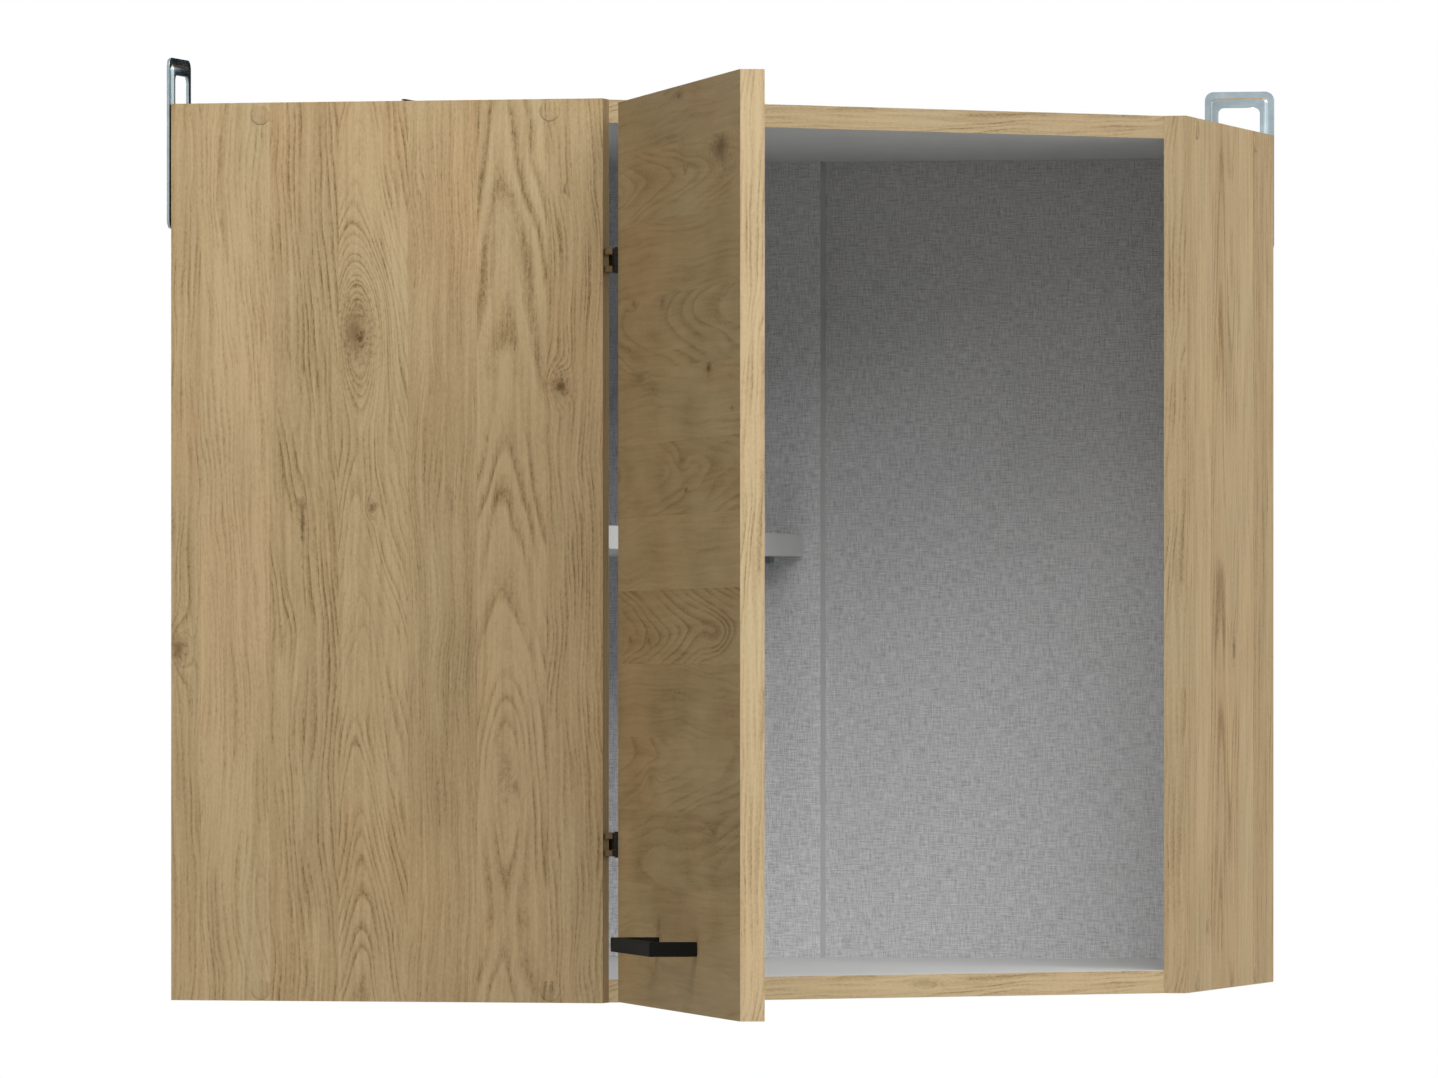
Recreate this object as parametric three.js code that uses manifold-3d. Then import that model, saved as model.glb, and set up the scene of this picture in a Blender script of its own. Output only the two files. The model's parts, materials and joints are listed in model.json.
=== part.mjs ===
// Corner wall cabinet with a diagonal front, in millimetres, +Z up.
// Origin: the room corner at the level of the cabinet's underside. The left wall is the plane x = 0, the
// right wall is the plane y = 0, and the cabinet fills x > 0, y < 0. The door is drawn at its open stop.
import * as THREE from "three";
import { mergeVertices } from "three/addons/utils/BufferGeometryUtils.js";
import Module from "manifold-3d";

const wasm = await Module();
wasm.setup();

// ---- Driving dimensions: carcass ----
const wall = 600; // length of the cabinet along each wall
const height = 576;
const sideDepth = 287; // how far the two short sides stand out from their walls
const board = 15;
const back = 3; // hardboard
const rebate = 8; // width of the rebate that takes a back board's edge
const backPlay = 0.5; // play of a back board in its rebates
const shelfLevel = 290; // underside of the shelf
const shelfSetback = 12; // shelf's front edge behind the side's front edge
const shelfPlay = 1; // play of the shelf at each side board
const shelfBackPlay = 0.5;

// ---- Driving dimensions: fasteners of the carcass ----
const joinRear = 60; // connecting screw from the wall plane
const joinFront = 35; // connecting screw from the side's front edge
const pinRear = 40; // shelf pin from the wall plane
const systemRow = 37; // shelf pin and hinge plate from the side's front edge
const pinRadius = 2.5;
const pinDepth = 9; // in the side board
const pinReach = 9; // under the shelf
const pinTongue = 8; // width of the part under the shelf
const pinTongueThick = 4;
const play = 0.15; // round each pin and screw in its hole
const seat = 0.1; // under each screw head

// ---- Driving dimensions: hangers ----
const hangerWidth = 48;
const hangerHeight = 110;
const hangerRise = 30; // above the top board
const hangerSheet = 1.8;
const hangerStep = 1.2; // the pressed rim stands this far off the wall side of the board
const hangerRim = 5; // width of the rim
const hangerCorner = 6;
const hangerBar = 11; // top bar above the window
const windowWidth = 29;
const windowHeight = 21;
const windowCorner = 4;
const hangerScrewIn = 11; // lower screw from the side's outer face
const hangerScrewUp = 12; // lower screw above the hanger's lower end

// ---- Driving dimensions: door ----
const doorThick = 15;
const doorMargin = 4.35; // from each end of the diagonal opening to the door's edge
const doorGap = 2; // closed door in front of the top and bottom boards
const doorBelow = 1;
const doorAbove = 3;
const doorOpen = 110; // degrees, the open stop

// ---- Driving dimensions: handle and bumpers ----
const handleLength = 134;
const handleReach = 30;
const handleBar = 6; // thickness of bar and legs
const handleTall = 9;
const handleUp = 40; // centre above the door's lower edge
const handlePlay = 0.3; // foot to the door
const bumperRadius = 4;
const bumperThick = 1.4;
const bumperIn = 14; // from the door's free edge
const skin = 0.3; // glue line and play between pieces of the door

// ---- Driving dimensions: hinges ----
const hingeEnd = 100; // hinge centre from the door's upper or lower edge
const pivotAhead = 9.5; // hinge line in front of the side's front edge
const pivotInset = 2.1; // hinge line inside the side's outer face
const knuckle = 3.6; // outer radius
const pinHinge = 1.5; // radius of the hinge pin
const pinHead = 2.4;
const pinHeadThick = 0.7;
const armTall = 15;
const armSheet = 1.5;
const armBack = 62; // length of the arm behind the side's front edge
const armHigh = 11; // off the side's inner face
const noseSheet = 2;
const noseGap = 1.2; // nose in front of the side's front edge
const forkSlot = 7.2; // gap between the prongs that the wing turns in
const forkRoot = 8; // height of the slot's root off the side's inner face
const wingTall = 6.6;
const wingWide = 14;
const wingSheet = 1.6;
const wingOff = 1.4; // wing to the door's edge
const wingFlare = 4; // where the wing widens, from the door's edge
const plateThick = 2;
const plateBack = 60; // rear end of the hinge plate behind the side's front edge
const plateLong = 48;
const plateTall = 16;
const earTall = 48;
const earWide = 14;
const earHole = 16; // plate screw from the hinge centre
const armPlay = 0.3; // arm on the plate's rail
const cupRadius = 17.5;
const cupDepth = 11.2;
const cupWall = 1;
const cupEdge = 22.5; // cup centre from the door's hinge edge
const flangeThick = 1.2;
const flangeRadius = 19.5;
const cupScrewAlong = 6;
const cupScrewUp = 24;
const earRadius = 6;
const cupPlay = 0.3;

// ---- Screws, as [radius, depth] from the plane that the head rests on or is let into ----
const join = { sink: 0.2, head: 5, headEnd: 2.8, coneEnd: 4.2, shank: 3.5, thread: 3, length: 50, tip: 3 };
const joinProfile = [
  [0, join.sink],
  [join.head, join.sink],
  [join.head, join.headEnd],
  [join.shank, join.coneEnd],
  [join.shank, board - join.sink],
  [join.thread, board],
  [join.thread, join.length - join.tip],
  [0, join.length],
];
const panHead = (head, headThick, shank, length, tip) => [
  [0, -seat - headThick],
  [head * 0.8, -seat - headThick],
  [head, -seat - headThick * 0.5],
  [head, -seat],
  [shank, -seat],
  [shank, length - tip],
  [0, length],
];
const hangerScrew = panHead(3.2, 1.1, 1.6, 25, 3);
const plateScrew = panHead(4.6, 1.6, 3.1, 13, 1.5);
const armScrew = panHead(3.5, 1.5, 2, 7.6, 0.5);
const armScrewBack = 46; // behind the side's front edge
const cupScrew = panHead(3.4, 1.4, 1.6, 11.5, 2);
const handleScrew = panHead(4, 1.4, 1.9, doorThick + 9, 0.5);

const screwSides = 12;
const knuckleSides = 24;
const cupSides = 36;

// ---- Where things lie ----
const innerFace = -wall + board; // left side's inner face, y
const rearSideFront = -back - board; // rear side's face towards the shelf, y
const railStart = new THREE.Vector2(sideDepth, innerFace);
const railEnd = new THREE.Vector2(wall - board, -sideDepth);
const along = railEnd.clone().sub(railStart).normalize();
const out = new THREE.Vector2(along.y, -along.x);
const doorWidth = railStart.distanceTo(railEnd) - 2 * doorMargin;
const doorHeight = height - doorBelow - doorAbove;
const doorCorner = railStart.clone().addScaledVector(along, doorMargin).addScaledVector(out, doorGap);
const pivot = new THREE.Vector2(sideDepth + pivotAhead, -wall + pivotInset);
const pivotFromCorner = pivot.clone().sub(doorCorner);
const pivotInDoor = { x: pivotFromCorner.dot(along), y: -pivotFromCorner.dot(out) };
const hingeLevels = { lower: doorBelow + hingeEnd, upper: doorBelow + doorHeight - hingeEnd };
const joinLevels = { bottom: board / 2, top: height - board / 2 };
const joinPlaces = { rear: joinRear, front: sideDepth - joinFront };
const pinPlaces = { rear: pinRear, front: sideDepth - systemRow };
const pinLevel = shelfLevel - pinTongueThick / 2;

const left = new THREE.Vector3(-1, 0, 0);
const right = new THREE.Vector3(1, 0, 0);
const forth = new THREE.Vector3(0, -1, 0);
const rear = new THREE.Vector3(0, 1, 0);
const up = new THREE.Vector3(0, 0, 1);

// ---- Materials ----
const finish = (color, roughness, metalness) =>
  new THREE.MeshStandardMaterial({ color, roughness, metalness });
const oak = finish(0xb39c73, 0.6, 0);
const white = finish(0xe4e4e2, 0.7, 0);
const zinc = finish(0xa3b3bd, 0.35, 0.9);
const dark = finish(0x2b2a29, 0.4, 0.8);
const black = finish(0x1c1c1a, 0.6, 0.2);
const rubber = finish(0xd8d8d2, 0.5, 0);

// ---- Making solids ----

// One closed solid from a three.js geometry: shared vertices merged, collapsed faces dropped.
function solid(geometry) {
  geometry.deleteAttribute("normal");
  geometry.deleteAttribute("uv");
  const merged = mergeVertices(geometry, 1e-4);
  const faces = [];
  for (let i = 0; i < merged.index.count; i += 3) {
    const [a, b, c] = [0, 1, 2].map((k) => merged.index.getX(i + k));
    if (a !== b && b !== c && c !== a) faces.push(a, b, c);
  }
  const vertProperties = merged.attributes.position.array;
  return new wasm.Manifold(new wasm.Mesh({ numProp: 3, vertProperties, triVerts: new Uint32Array(faces) }));
}

function extruded(shape, low, high) {
  const settings = { depth: high - low, bevelEnabled: false, curveSegments: 4 };
  return new THREE.ExtrudeGeometry(shape, settings).translate(0, 0, low);
}

// An upright prism over a plan outline.
function prism(outline, low, high) {
  return solid(extruded(new THREE.Shape(outline.map(([x, y]) => new THREE.Vector2(x, y))), low, high));
}

function block([x0, x1], [y0, y1], [z0, z1]) {
  const corners = [
    [x0, y0],
    [x1, y0],
    [x1, y1],
    [x0, y1],
  ];
  return prism(corners, z0, z1);
}

// A solid of revolution: [radius, depth] pairs, depth measured from the point along the direction.
function turned(profile, at, direction, sides = screwSides) {
  const points = profile.map(([radius, depth]) => new THREE.Vector2(radius, depth));
  const geometry = new THREE.LatheGeometry(points, sides);
  geometry.applyQuaternion(new THREE.Quaternion().setFromUnitVectors(rear, direction));
  return solid(geometry.translate(at.x, at.y, at.z));
}

// The hole that a turned piece sits in.
function holeFor(profile, at, direction, sides = screwSides) {
  const last = profile.length - 1;
  const ends = { 0: -1, [last]: play };
  const grown = profile.map(([radius, depth], i) => [radius ? radius + play : 0, depth + (ends[i] ?? 0)]);
  grown[1] = [grown[1][0], grown[0][1]];
  return turned(grown, at, direction, sides);
}

function rod(radius, from, to, at, sides) {
  const profile = [
    [0, from],
    [radius, from],
    [radius, to],
    [0, to],
  ];
  return turned(profile, at, up, sides);
}

// A rectangle with round corners, as a shape or as a hole in one.
function rounded(path, x0, x1, y0, y1, corner) {
  const quarter = Math.PI / 2;
  path.moveTo(x0 + corner, y0);
  path.lineTo(x1 - corner, y0);
  path.absarc(x1 - corner, y0 + corner, corner, -quarter, 0, false);
  path.absarc(x1 - corner, y1 - corner, corner, 0, quarter, false);
  path.absarc(x0 + corner, y1 - corner, corner, quarter, 2 * quarter, false);
  path.absarc(x0 + corner, y0 + corner, corner, 2 * quarter, 3 * quarter, false);
  return path;
}

const cutAll = (body, holes) => holes.reduce((rest, hole) => rest.subtract(hole), body);

function addPiece(parent, name, body, material) {
  const made = body.getMesh();
  const geometry = new THREE.BufferGeometry();
  geometry.setAttribute("position", new THREE.BufferAttribute(made.vertProperties, 3));
  geometry.setIndex(new THREE.BufferAttribute(made.triVerts, 1));
  geometry.computeVertexNormals();
  const mesh = new THREE.Mesh(geometry, material);
  mesh.name = name;
  parent.add(mesh);
}

// ---- Places of the carcass screws ----
// Each side board is fixed to the top and bottom boards with four connecting screws through its outer face.
function joinScrews() {
  const places = [];
  for (const [level, z] of Object.entries(joinLevels)) {
    for (const [place, from] of Object.entries(joinPlaces)) {
      places.push({ side: "left", level, place, at: new THREE.Vector3(from, -wall, z), into: rear });
      places.push({ side: "right", level, place, at: new THREE.Vector3(wall, -from, z), into: left });
      places.push({ side: "inner", level, place, at: new THREE.Vector3(from, -back, z), into: forth });
    }
  }
  return places;
}

// Each hanger lies on the rear edge of a side board, flush with that board's outer face. Its local x runs
// along the wall, y up and z away from the cabinet, so x is -y on the left wall and -x on the right wall.
const leftWall = new THREE.Matrix4().makeBasis(forth, up, left);
const rightWall = new THREE.Matrix4().makeBasis(left, up, rear);
const hangers = {
  left_front: { basis: leftWall, outer: wall, inward: -1 },
  left_rear: { basis: leftWall, outer: back, inward: 1 },
  right: { basis: rightWall, outer: -wall, inward: 1 },
};
const hangerFoot = height + hangerRise - hangerHeight;

function hangerScrews({ basis, outer, inward }) {
  const into = new THREE.Vector3(0, 0, -1).transformDirection(basis);
  const lower = [outer + inward * hangerScrewIn, hangerFoot + hangerScrewUp];
  const upper = [outer + (inward * hangerWidth) / 2, height - board / 2];
  return { lower, upper, into };
}

function hangerScrewAt({ basis }, [x, y]) {
  return new THREE.Vector3(x, y, hangerSheet).applyMatrix4(basis);
}

function hangerHoles() {
  return Object.values(hangers).flatMap((hanger) => {
    const { lower, upper, into } = hangerScrews(hanger);
    return [lower, upper].map((place) => holeFor(hangerScrew, hangerScrewAt(hanger, place), into));
  });
}

const screws = joinScrews();
const joinHoles = screws.map(({ at, into }) => holeFor(joinProfile, at, into));
const wallHoles = hangerHoles();

// ---- Carcass ----
function pinHole(x, face, into) {
  const profile = [
    [0, -1],
    [pinRadius, -1],
    [pinRadius, pinDepth],
    [0, pinDepth],
  ];
  return holeFor(profile, new THREE.Vector3(x, face, pinLevel), into);
}

function addSides(parent) {
  const full = [0, height];
  const leftHoles = Object.values(pinPlaces).map((x) => pinHole(x, innerFace, forth));
  for (const z of Object.values(hingeLevels)) {
    for (const step of [-earHole, earHole]) {
      const at = new THREE.Vector3(sideDepth - systemRow, innerFace + plateThick, z + step);
      leftHoles.push(holeFor(plateScrew, at, forth));
    }
  }
  const leftBoard = block([0, sideDepth], [-wall, innerFace], full);
  const leftRebate = block([-1, back], [innerFace - rebate, innerFace + 1], [-1, height + 1]);
  const leftCuts = [leftRebate, ...leftHoles, ...joinHoles, ...wallHoles];
  addPiece(parent, "left_side_panel", cutAll(leftBoard, leftCuts), oak);

  const innerHoles = Object.values(pinPlaces).map((x) => pinHole(x, rearSideFront, rear));
  const innerBoard = block([0, sideDepth], [rearSideFront, -back], full);
  const innerRebate = block([-1, back], [rearSideFront - 1, rearSideFront + rebate], [-1, height + 1]);
  const innerCuts = [innerRebate, ...innerHoles, ...joinHoles, ...wallHoles];
  addPiece(parent, "rear_side_panel", cutAll(innerBoard, innerCuts), white);

  const rightBoard = block([wall - board, wall], [-sideDepth, 0], full);
  const rightRebate = block([wall - board - 1, wall - board + rebate], [-back, 1], [-1, height + 1]);
  const rightCuts = [rightRebate, ...joinHoles, ...wallHoles];
  addPiece(parent, "right_side_panel", cutAll(rightBoard, rightCuts), oak);
}

// Top and bottom have five corners and a notch that takes the rear side.
function addTopAndBottom(parent) {
  const outline = [
    [back, innerFace],
    [railStart.x, railStart.y],
    [railEnd.x, railEnd.y],
    [wall - board, -back],
    [sideDepth, -back],
    [sideDepth, rearSideFront],
    [back, rearSideFront],
  ];
  addPiece(parent, "bottom_panel", cutAll(prism(outline, 0, board), joinHoles), oak);
  const top = prism(outline, height - board, height);
  addPiece(parent, "top_panel", cutAll(top, [...joinHoles, ...wallHoles]), oak);
}

function addBacks(parent) {
  const tall = [backPlay, height - backPlay];
  const leftSpan = [innerFace - rebate + backPlay, rearSideFront + rebate - backPlay];
  addPiece(parent, "left_back_board", cutAll(block([0, back], leftSpan, tall), wallHoles), white);
  const rightSpan = [backPlay, wall - board + rebate - backPlay];
  addPiece(parent, "right_back_board", cutAll(block(rightSpan, [-back, 0], tall), wallHoles), white);
}

function addShelf(parent) {
  const x = [back + shelfBackPlay, sideDepth - shelfSetback];
  const y = [innerFace + shelfPlay, rearSideFront - shelfPlay];
  addPiece(parent, "shelf", block(x, y, [shelfLevel, shelfLevel + board]), white);
}

// A shelf pin: a round shank in the side board and a flat tongue under the shelf.
function addShelfPins(parent) {
  for (const [side, face, turn] of [
    ["left", innerFace, 1],
    ["right", rearSideFront, -1],
  ]) {
    for (const [place, x] of Object.entries(pinPlaces)) {
      const shank = [
        [0, -pinReach / 2],
        [pinRadius - seat, -pinReach / 2],
        [pinRadius - seat, pinDepth - seat],
        [0, pinDepth - seat],
      ];
      const stem = turned(shank, new THREE.Vector3(x, face, pinLevel), turn > 0 ? forth : rear);
      const reach = [face + turn * seat, face + turn * pinReach].sort((a, b) => a - b);
      const half = pinTongue / 2;
      const tongue = block([x - half, x + half], reach, [shelfLevel - pinTongueThick, shelfLevel]);
      const low = block([x - half, x + half], reach, [shelfLevel, shelfLevel + board]);
      addPiece(parent, `shelf_pin_${side}_${place}`, stem.subtract(low).add(tongue), zinc);
    }
  }
}

function addJoinScrews(parent) {
  for (const { side, level, place, at, into } of screws) {
    addPiece(parent, `${side}_${level}_screw_${place}`, turned(joinProfile, at, into), zinc);
  }
}

// A pressed hanger: a sheet with a window, its outer rim set off from the inner field by one step.
function addHangers(parent) {
  const overlap = hangerSheet - hangerStep;
  for (const [name, hanger] of Object.entries(hangers)) {
    const { basis, outer, inward } = hanger;
    const { lower, upper, into } = hangerScrews(hanger);
    const x0 = Math.min(outer, outer + inward * hangerWidth);
    const x1 = x0 + hangerWidth;
    const y1 = hangerFoot + hangerHeight;
    const middle = (x0 + x1) / 2;
    const windowTop = y1 - hangerBar;
    const window = [middle - windowWidth / 2, middle + windowWidth / 2, windowTop - windowHeight, windowTop];
    const rim = rounded(new THREE.Shape(), x0, x1, hangerFoot, y1, hangerCorner);
    const inner = (path, inset) =>
      rounded(path, x0 + inset, x1 - inset, hangerFoot + inset, y1 - inset, hangerCorner - inset / 2);
    rim.holes.push(inner(new THREE.Path(), hangerRim));
    const field = inner(new THREE.Shape(), hangerRim - overlap);
    field.holes.push(rounded(new THREE.Path(), ...window, windowCorner));
    const rimBody = solid(extruded(rim, hangerStep, hangerStep + hangerSheet).applyMatrix4(basis));
    const fieldBody = solid(extruded(field, 0, hangerSheet).applyMatrix4(basis));
    addPiece(parent, `hanger_${name}`, cutAll(rimBody.add(fieldBody), wallHoles), zinc);
    for (const [place, spot] of Object.entries({ lower, upper })) {
      const screw = turned(hangerScrew, hangerScrewAt(hanger, spot), into);
      addPiece(parent, `hanger_${name}_screw_${place}`, screw, zinc);
    }
  }
}

// ---- Hinges, cabinet side ----
// Local x runs from the side's front edge out of the cabinet, y off the side's inner face, z up from the
// hinge's centre.
const armPivot = { x: pivotAhead, y: pivotInset - board };

function hingePlate() {
  const x0 = -plateBack;
  const half = plateTall / 2;
  const base = block([x0, x0 + plateLong], [0, plateThick], [-half, half]);
  const ear = rounded(
    new THREE.Shape(),
    -systemRow - earWide / 2,
    -systemRow + earWide / 2,
    -earTall / 2,
    earTall / 2,
    earWide / 2 - seat,
  );
  const upright = new THREE.Matrix4().makeBasis(right, up, forth);
  const ears = solid(extruded(ear, -plateThick, 0).applyMatrix4(upright));
  const railHalf = armTall / 2 - armSheet - armPlay;
  const railTop = armHigh - armSheet - armPlay;
  const rail = block([x0 + 2, x0 + plateLong - 2], [0, railTop], [-railHalf, railHalf]);
  const holes = [-earHole, earHole].map((z) =>
    holeFor(plateScrew, new THREE.Vector3(-systemRow, plateThick, z), forth),
  );
  holes.push(holeFor(armScrew, new THREE.Vector3(-armScrewBack, armHigh, 0), forth));
  return cutAll(base.add(ears).add(rail), holes);
}

// The arm is a channel over the plate's rail. Its nose turns round the side's front edge as a fork with two
// knuckles on the hinge line.
function hingeArm() {
  const half = armTall / 2;
  const nose = noseGap + noseSheet;
  const channel = block([-armBack, nose], [plateThick + armPlay, armHigh], [-half, half]);
  const hollow = block(
    [-armBack - 1, noseGap],
    [0, armHigh - armSheet],
    [-half + armSheet, half - armSheet],
  );
  const strapEnd = armPivot.y - noseSheet / 2;
  const strap = block([noseGap, nose], [strapEnd, armHigh], [-half, half]);
  const reach = block([noseGap, armPivot.x], [strapEnd, strapEnd + noseSheet], [-half, half]);
  const hingeLine = new THREE.Vector3(armPivot.x, armPivot.y, 0);
  const barrel = rod(knuckle, -half, half, hingeLine, knuckleSides);
  const slot = block(
    [noseGap - 1, armPivot.x + 2 * knuckle],
    [armPivot.y - 2 * knuckle, forkRoot],
    [-forkSlot / 2, forkSlot / 2],
  );
  const bore = rod(pinHinge + play, -armTall, armTall, hingeLine, screwSides);
  const screwHole = holeFor(armScrew, new THREE.Vector3(-armScrewBack, armHigh, 0), forth);
  const body = channel.subtract(hollow).add(strap).add(reach).add(barrel);
  return cutAll(body, [slot, bore, screwHole]);
}

function hingePin() {
  const half = armTall / 2 + seat;
  const profile = [
    [0, -half - pinHeadThick],
    [pinHead, -half - pinHeadThick],
    [pinHead, -half],
    [pinHinge, -half],
    [pinHinge, half],
    [pinHead, half],
    [pinHead, half + pinHeadThick],
    [0, half + pinHeadThick],
  ];
  return turned(profile, new THREE.Vector3(armPivot.x, armPivot.y, 0), up);
}

function addCabinetHinges(parent) {
  for (const [level, z] of Object.entries(hingeLevels)) {
    const hinge = new THREE.Group();
    hinge.position.set(sideDepth, innerFace, z);
    parent.add(hinge);
    addPiece(hinge, `hinge_plate_${level}`, hingePlate(), dark);
    addPiece(hinge, `hinge_arm_${level}`, hingeArm(), dark);
    addPiece(hinge, `hinge_pin_${level}`, hingePin(), dark);
    const armScrewAt = new THREE.Vector3(-armScrewBack, armHigh, 0);
    addPiece(hinge, `hinge_arm_screw_${level}`, turned(armScrew, armScrewAt, forth), dark);
    for (const [place, step] of Object.entries({ low: -earHole, high: earHole })) {
      const at = new THREE.Vector3(-systemRow, plateThick, step);
      addPiece(hinge, `hinge_plate_screw_${level}_${place}`, turned(plateScrew, at, forth), dark);
    }
  }
}

// ---- Hinges, door side ----
// Door pieces are drawn in the door's own frame: x from its hinge edge towards the free edge, y from its back
// face into the closed cabinet, z up.
const flangeBase = skin;
const flangeTop = flangeBase + flangeThick;
const cupScrewPlaces = [-cupScrewUp, cupScrewUp];
const cupScrewSpot = (z) => new THREE.Vector3(cupEdge + cupScrewAlong, flangeTop, z);

function hingeCup() {
  const quarter = Math.PI / 2;
  const flat = new THREE.Matrix4().makeBasis(right, up, forth);
  const disc = new THREE.Shape().absarc(cupEdge, 0, flangeRadius, 0, 4 * quarter, false);
  const ear = rounded(
    new THREE.Shape(),
    cupEdge + cupScrewAlong - earRadius,
    cupEdge + cupScrewAlong + earRadius,
    -cupScrewUp - earRadius,
    cupScrewUp + earRadius,
    earRadius - seat,
  );
  const sheet = (shape) => solid(extruded(shape, -flangeTop, -flangeBase).applyMatrix4(flat));
  const middle = new THREE.Vector3(cupEdge, 0, 0);
  const bowl = [
    [0, -flangeTop],
    [cupRadius, -flangeTop],
    [cupRadius, cupDepth],
    [0, cupDepth],
  ];
  const hollow = [
    [0, -flangeTop - 1],
    [cupRadius - cupWall, -flangeTop - 1],
    [cupRadius - cupWall, cupDepth - cupWall],
    [0, cupDepth - cupWall],
  ];
  const body = sheet(disc).add(sheet(ear)).add(turned(bowl, middle, forth, cupSides));
  const holes = cupScrewPlaces.map((z) => holeFor(cupScrew, cupScrewSpot(z), forth));
  return cutAll(body, [turned(hollow, middle, forth, cupSides), ...holes]);
}

// The wing lies across the cup, wraps round the door's edge and ends in the middle knuckle of the hinge line.
function hingeWing() {
  const low = flangeTop + skin;
  const high = low + wingSheet;
  const half = wingTall / 2;
  const inner = -wingOff;
  const outer = inner - wingSheet;
  const { x, y } = pivotInDoor;
  const neckOutline = [
    [x, y - wingSheet / 2],
    [inner, y - wingSheet / 2],
    [inner, low],
    [wingFlare + 1, low],
    [wingFlare + 1, high],
    [outer, high],
    [outer, y + wingSheet / 2],
    [x, y + wingSheet / 2],
  ];
  const neck = prism(neckOutline, -half, half);
  const across = cupEdge + cupRadius - cupWall;
  const plate = block([wingFlare, across], [low, high], [-wingWide / 2, wingWide / 2]);
  const at = new THREE.Vector3(x, y, 0);
  const barrel = rod(knuckle, -half, half, at, knuckleSides);
  return neck.add(plate).add(barrel).subtract(rod(pinHinge + play, -armTall, armTall, at, screwSides));
}

// ---- Door ----
const handleLegs = [-1, 1].map((side) => doorWidth / 2 + (side * (handleLength - handleBar)) / 2);
const handleLevel = doorBelow + handleUp;
const handleSpot = (x) => new THREE.Vector3(x, 0, handleLevel);

function addDoorPanel(parent) {
  const cupHole = [
    [0, -1],
    [cupRadius + cupPlay, -1],
    [cupRadius + cupPlay, cupDepth + cupPlay],
    [0, cupDepth + cupPlay],
  ];
  const holes = handleLegs.map((x) => holeFor(handleScrew, handleSpot(x), forth));
  for (const z of Object.values(hingeLevels)) {
    holes.push(turned(cupHole, new THREE.Vector3(cupEdge, 0, z), forth, cupSides));
    for (const step of cupScrewPlaces) {
      const at = cupScrewSpot(step);
      holes.push(holeFor(cupScrew, at.setZ(at.z + z), forth));
    }
  }
  const panel = block([0, doorWidth], [-doorThick, 0], [doorBelow, doorBelow + doorHeight]);
  addPiece(parent, "door_panel", cutAll(panel, holes), oak);
}

// The handle is one flat bar bent to a bracket.
function addHandle(parent) {
  const foot = -doorThick - handlePlay;
  const front = -doorThick - handleReach;
  const x0 = doorWidth / 2 - handleLength / 2;
  const x1 = x0 + handleLength;
  const outline = [
    [x0, foot],
    [x0, front],
    [x1, front],
    [x1, foot],
    [x1 - handleBar, foot],
    [x1 - handleBar, front + handleBar],
    [x0 + handleBar, front + handleBar],
    [x0 + handleBar, foot],
  ];
  const bar = prism(outline, handleLevel - handleTall / 2, handleLevel + handleTall / 2);
  const holes = handleLegs.map((x) => holeFor(handleScrew, handleSpot(x), forth));
  addPiece(parent, "handle", cutAll(bar, holes), black);
  for (const [place, x] of Object.entries({ inner: handleLegs[0], outer: handleLegs[1] })) {
    addPiece(parent, `handle_screw_${place}`, turned(handleScrew, handleSpot(x), forth), zinc);
  }
}

function addBumpers(parent) {
  const profile = [
    [0, -skin - bumperThick],
    [bumperRadius, -skin - bumperThick],
    [bumperRadius, -skin],
    [0, -skin],
  ];
  for (const [place, z] of Object.entries(joinLevels)) {
    const at = new THREE.Vector3(doorWidth - bumperIn, 0, z);
    addPiece(parent, `door_bumper_${place}`, turned(profile, at, forth), rubber);
  }
}

function addDoorHinges(parent) {
  for (const [level, z] of Object.entries(hingeLevels)) {
    const hinge = new THREE.Group();
    hinge.position.set(0, 0, z);
    parent.add(hinge);
    addPiece(hinge, `hinge_cup_${level}`, hingeCup(), dark);
    addPiece(hinge, `hinge_wing_${level}`, hingeWing(), dark);
    for (const [place, step] of Object.entries({ low: -cupScrewUp, high: cupScrewUp })) {
      addPiece(hinge, `cup_screw_${level}_${place}`, turned(cupScrew, cupScrewSpot(step), forth), dark);
    }
  }
}

// ---- Assembly ----
const cabinet = new THREE.Group();
addSides(cabinet);
addTopAndBottom(cabinet);
addBacks(cabinet);
addShelf(cabinet);
addShelfPins(cabinet);
addJoinScrews(cabinet);
addHangers(cabinet);
addCabinetHinges(cabinet);

// The door turns about the hinge line, from closed back to its open stop.
const swing = new THREE.Group();
swing.position.set(pivot.x, pivot.y, 0);
swing.rotation.z = THREE.MathUtils.degToRad(-doorOpen);
const door = new THREE.Group();
door.position.set(-pivotFromCorner.x, -pivotFromCorner.y, 0);
door.rotation.z = along.angle();
addDoorPanel(door);
addHandle(door);
addBumpers(door);
addDoorHinges(door);
swing.add(door);
cabinet.add(swing);

export default cabinet;
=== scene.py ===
# %% [markdown]
# # A corner wall cabinet
#
# The cabinet hangs in the corner of a room: two short sides, a five-cornered top and bottom, two thin backs and a
# diagonal doorway with one door. The solids are already built and arrive as a fixed frame. What is left to make here
# is what the eye reads as a real cabinet: a printed oak decor laid in staves, lighter edge bands, an embossed white
# back, plated steel, black powder coat, softened edges, and the small fasteners.
#
# Everything is in metres, with the room's corner at the origin, the right wall along +X and the left wall along -Y.

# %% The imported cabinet
import json
import math

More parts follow.
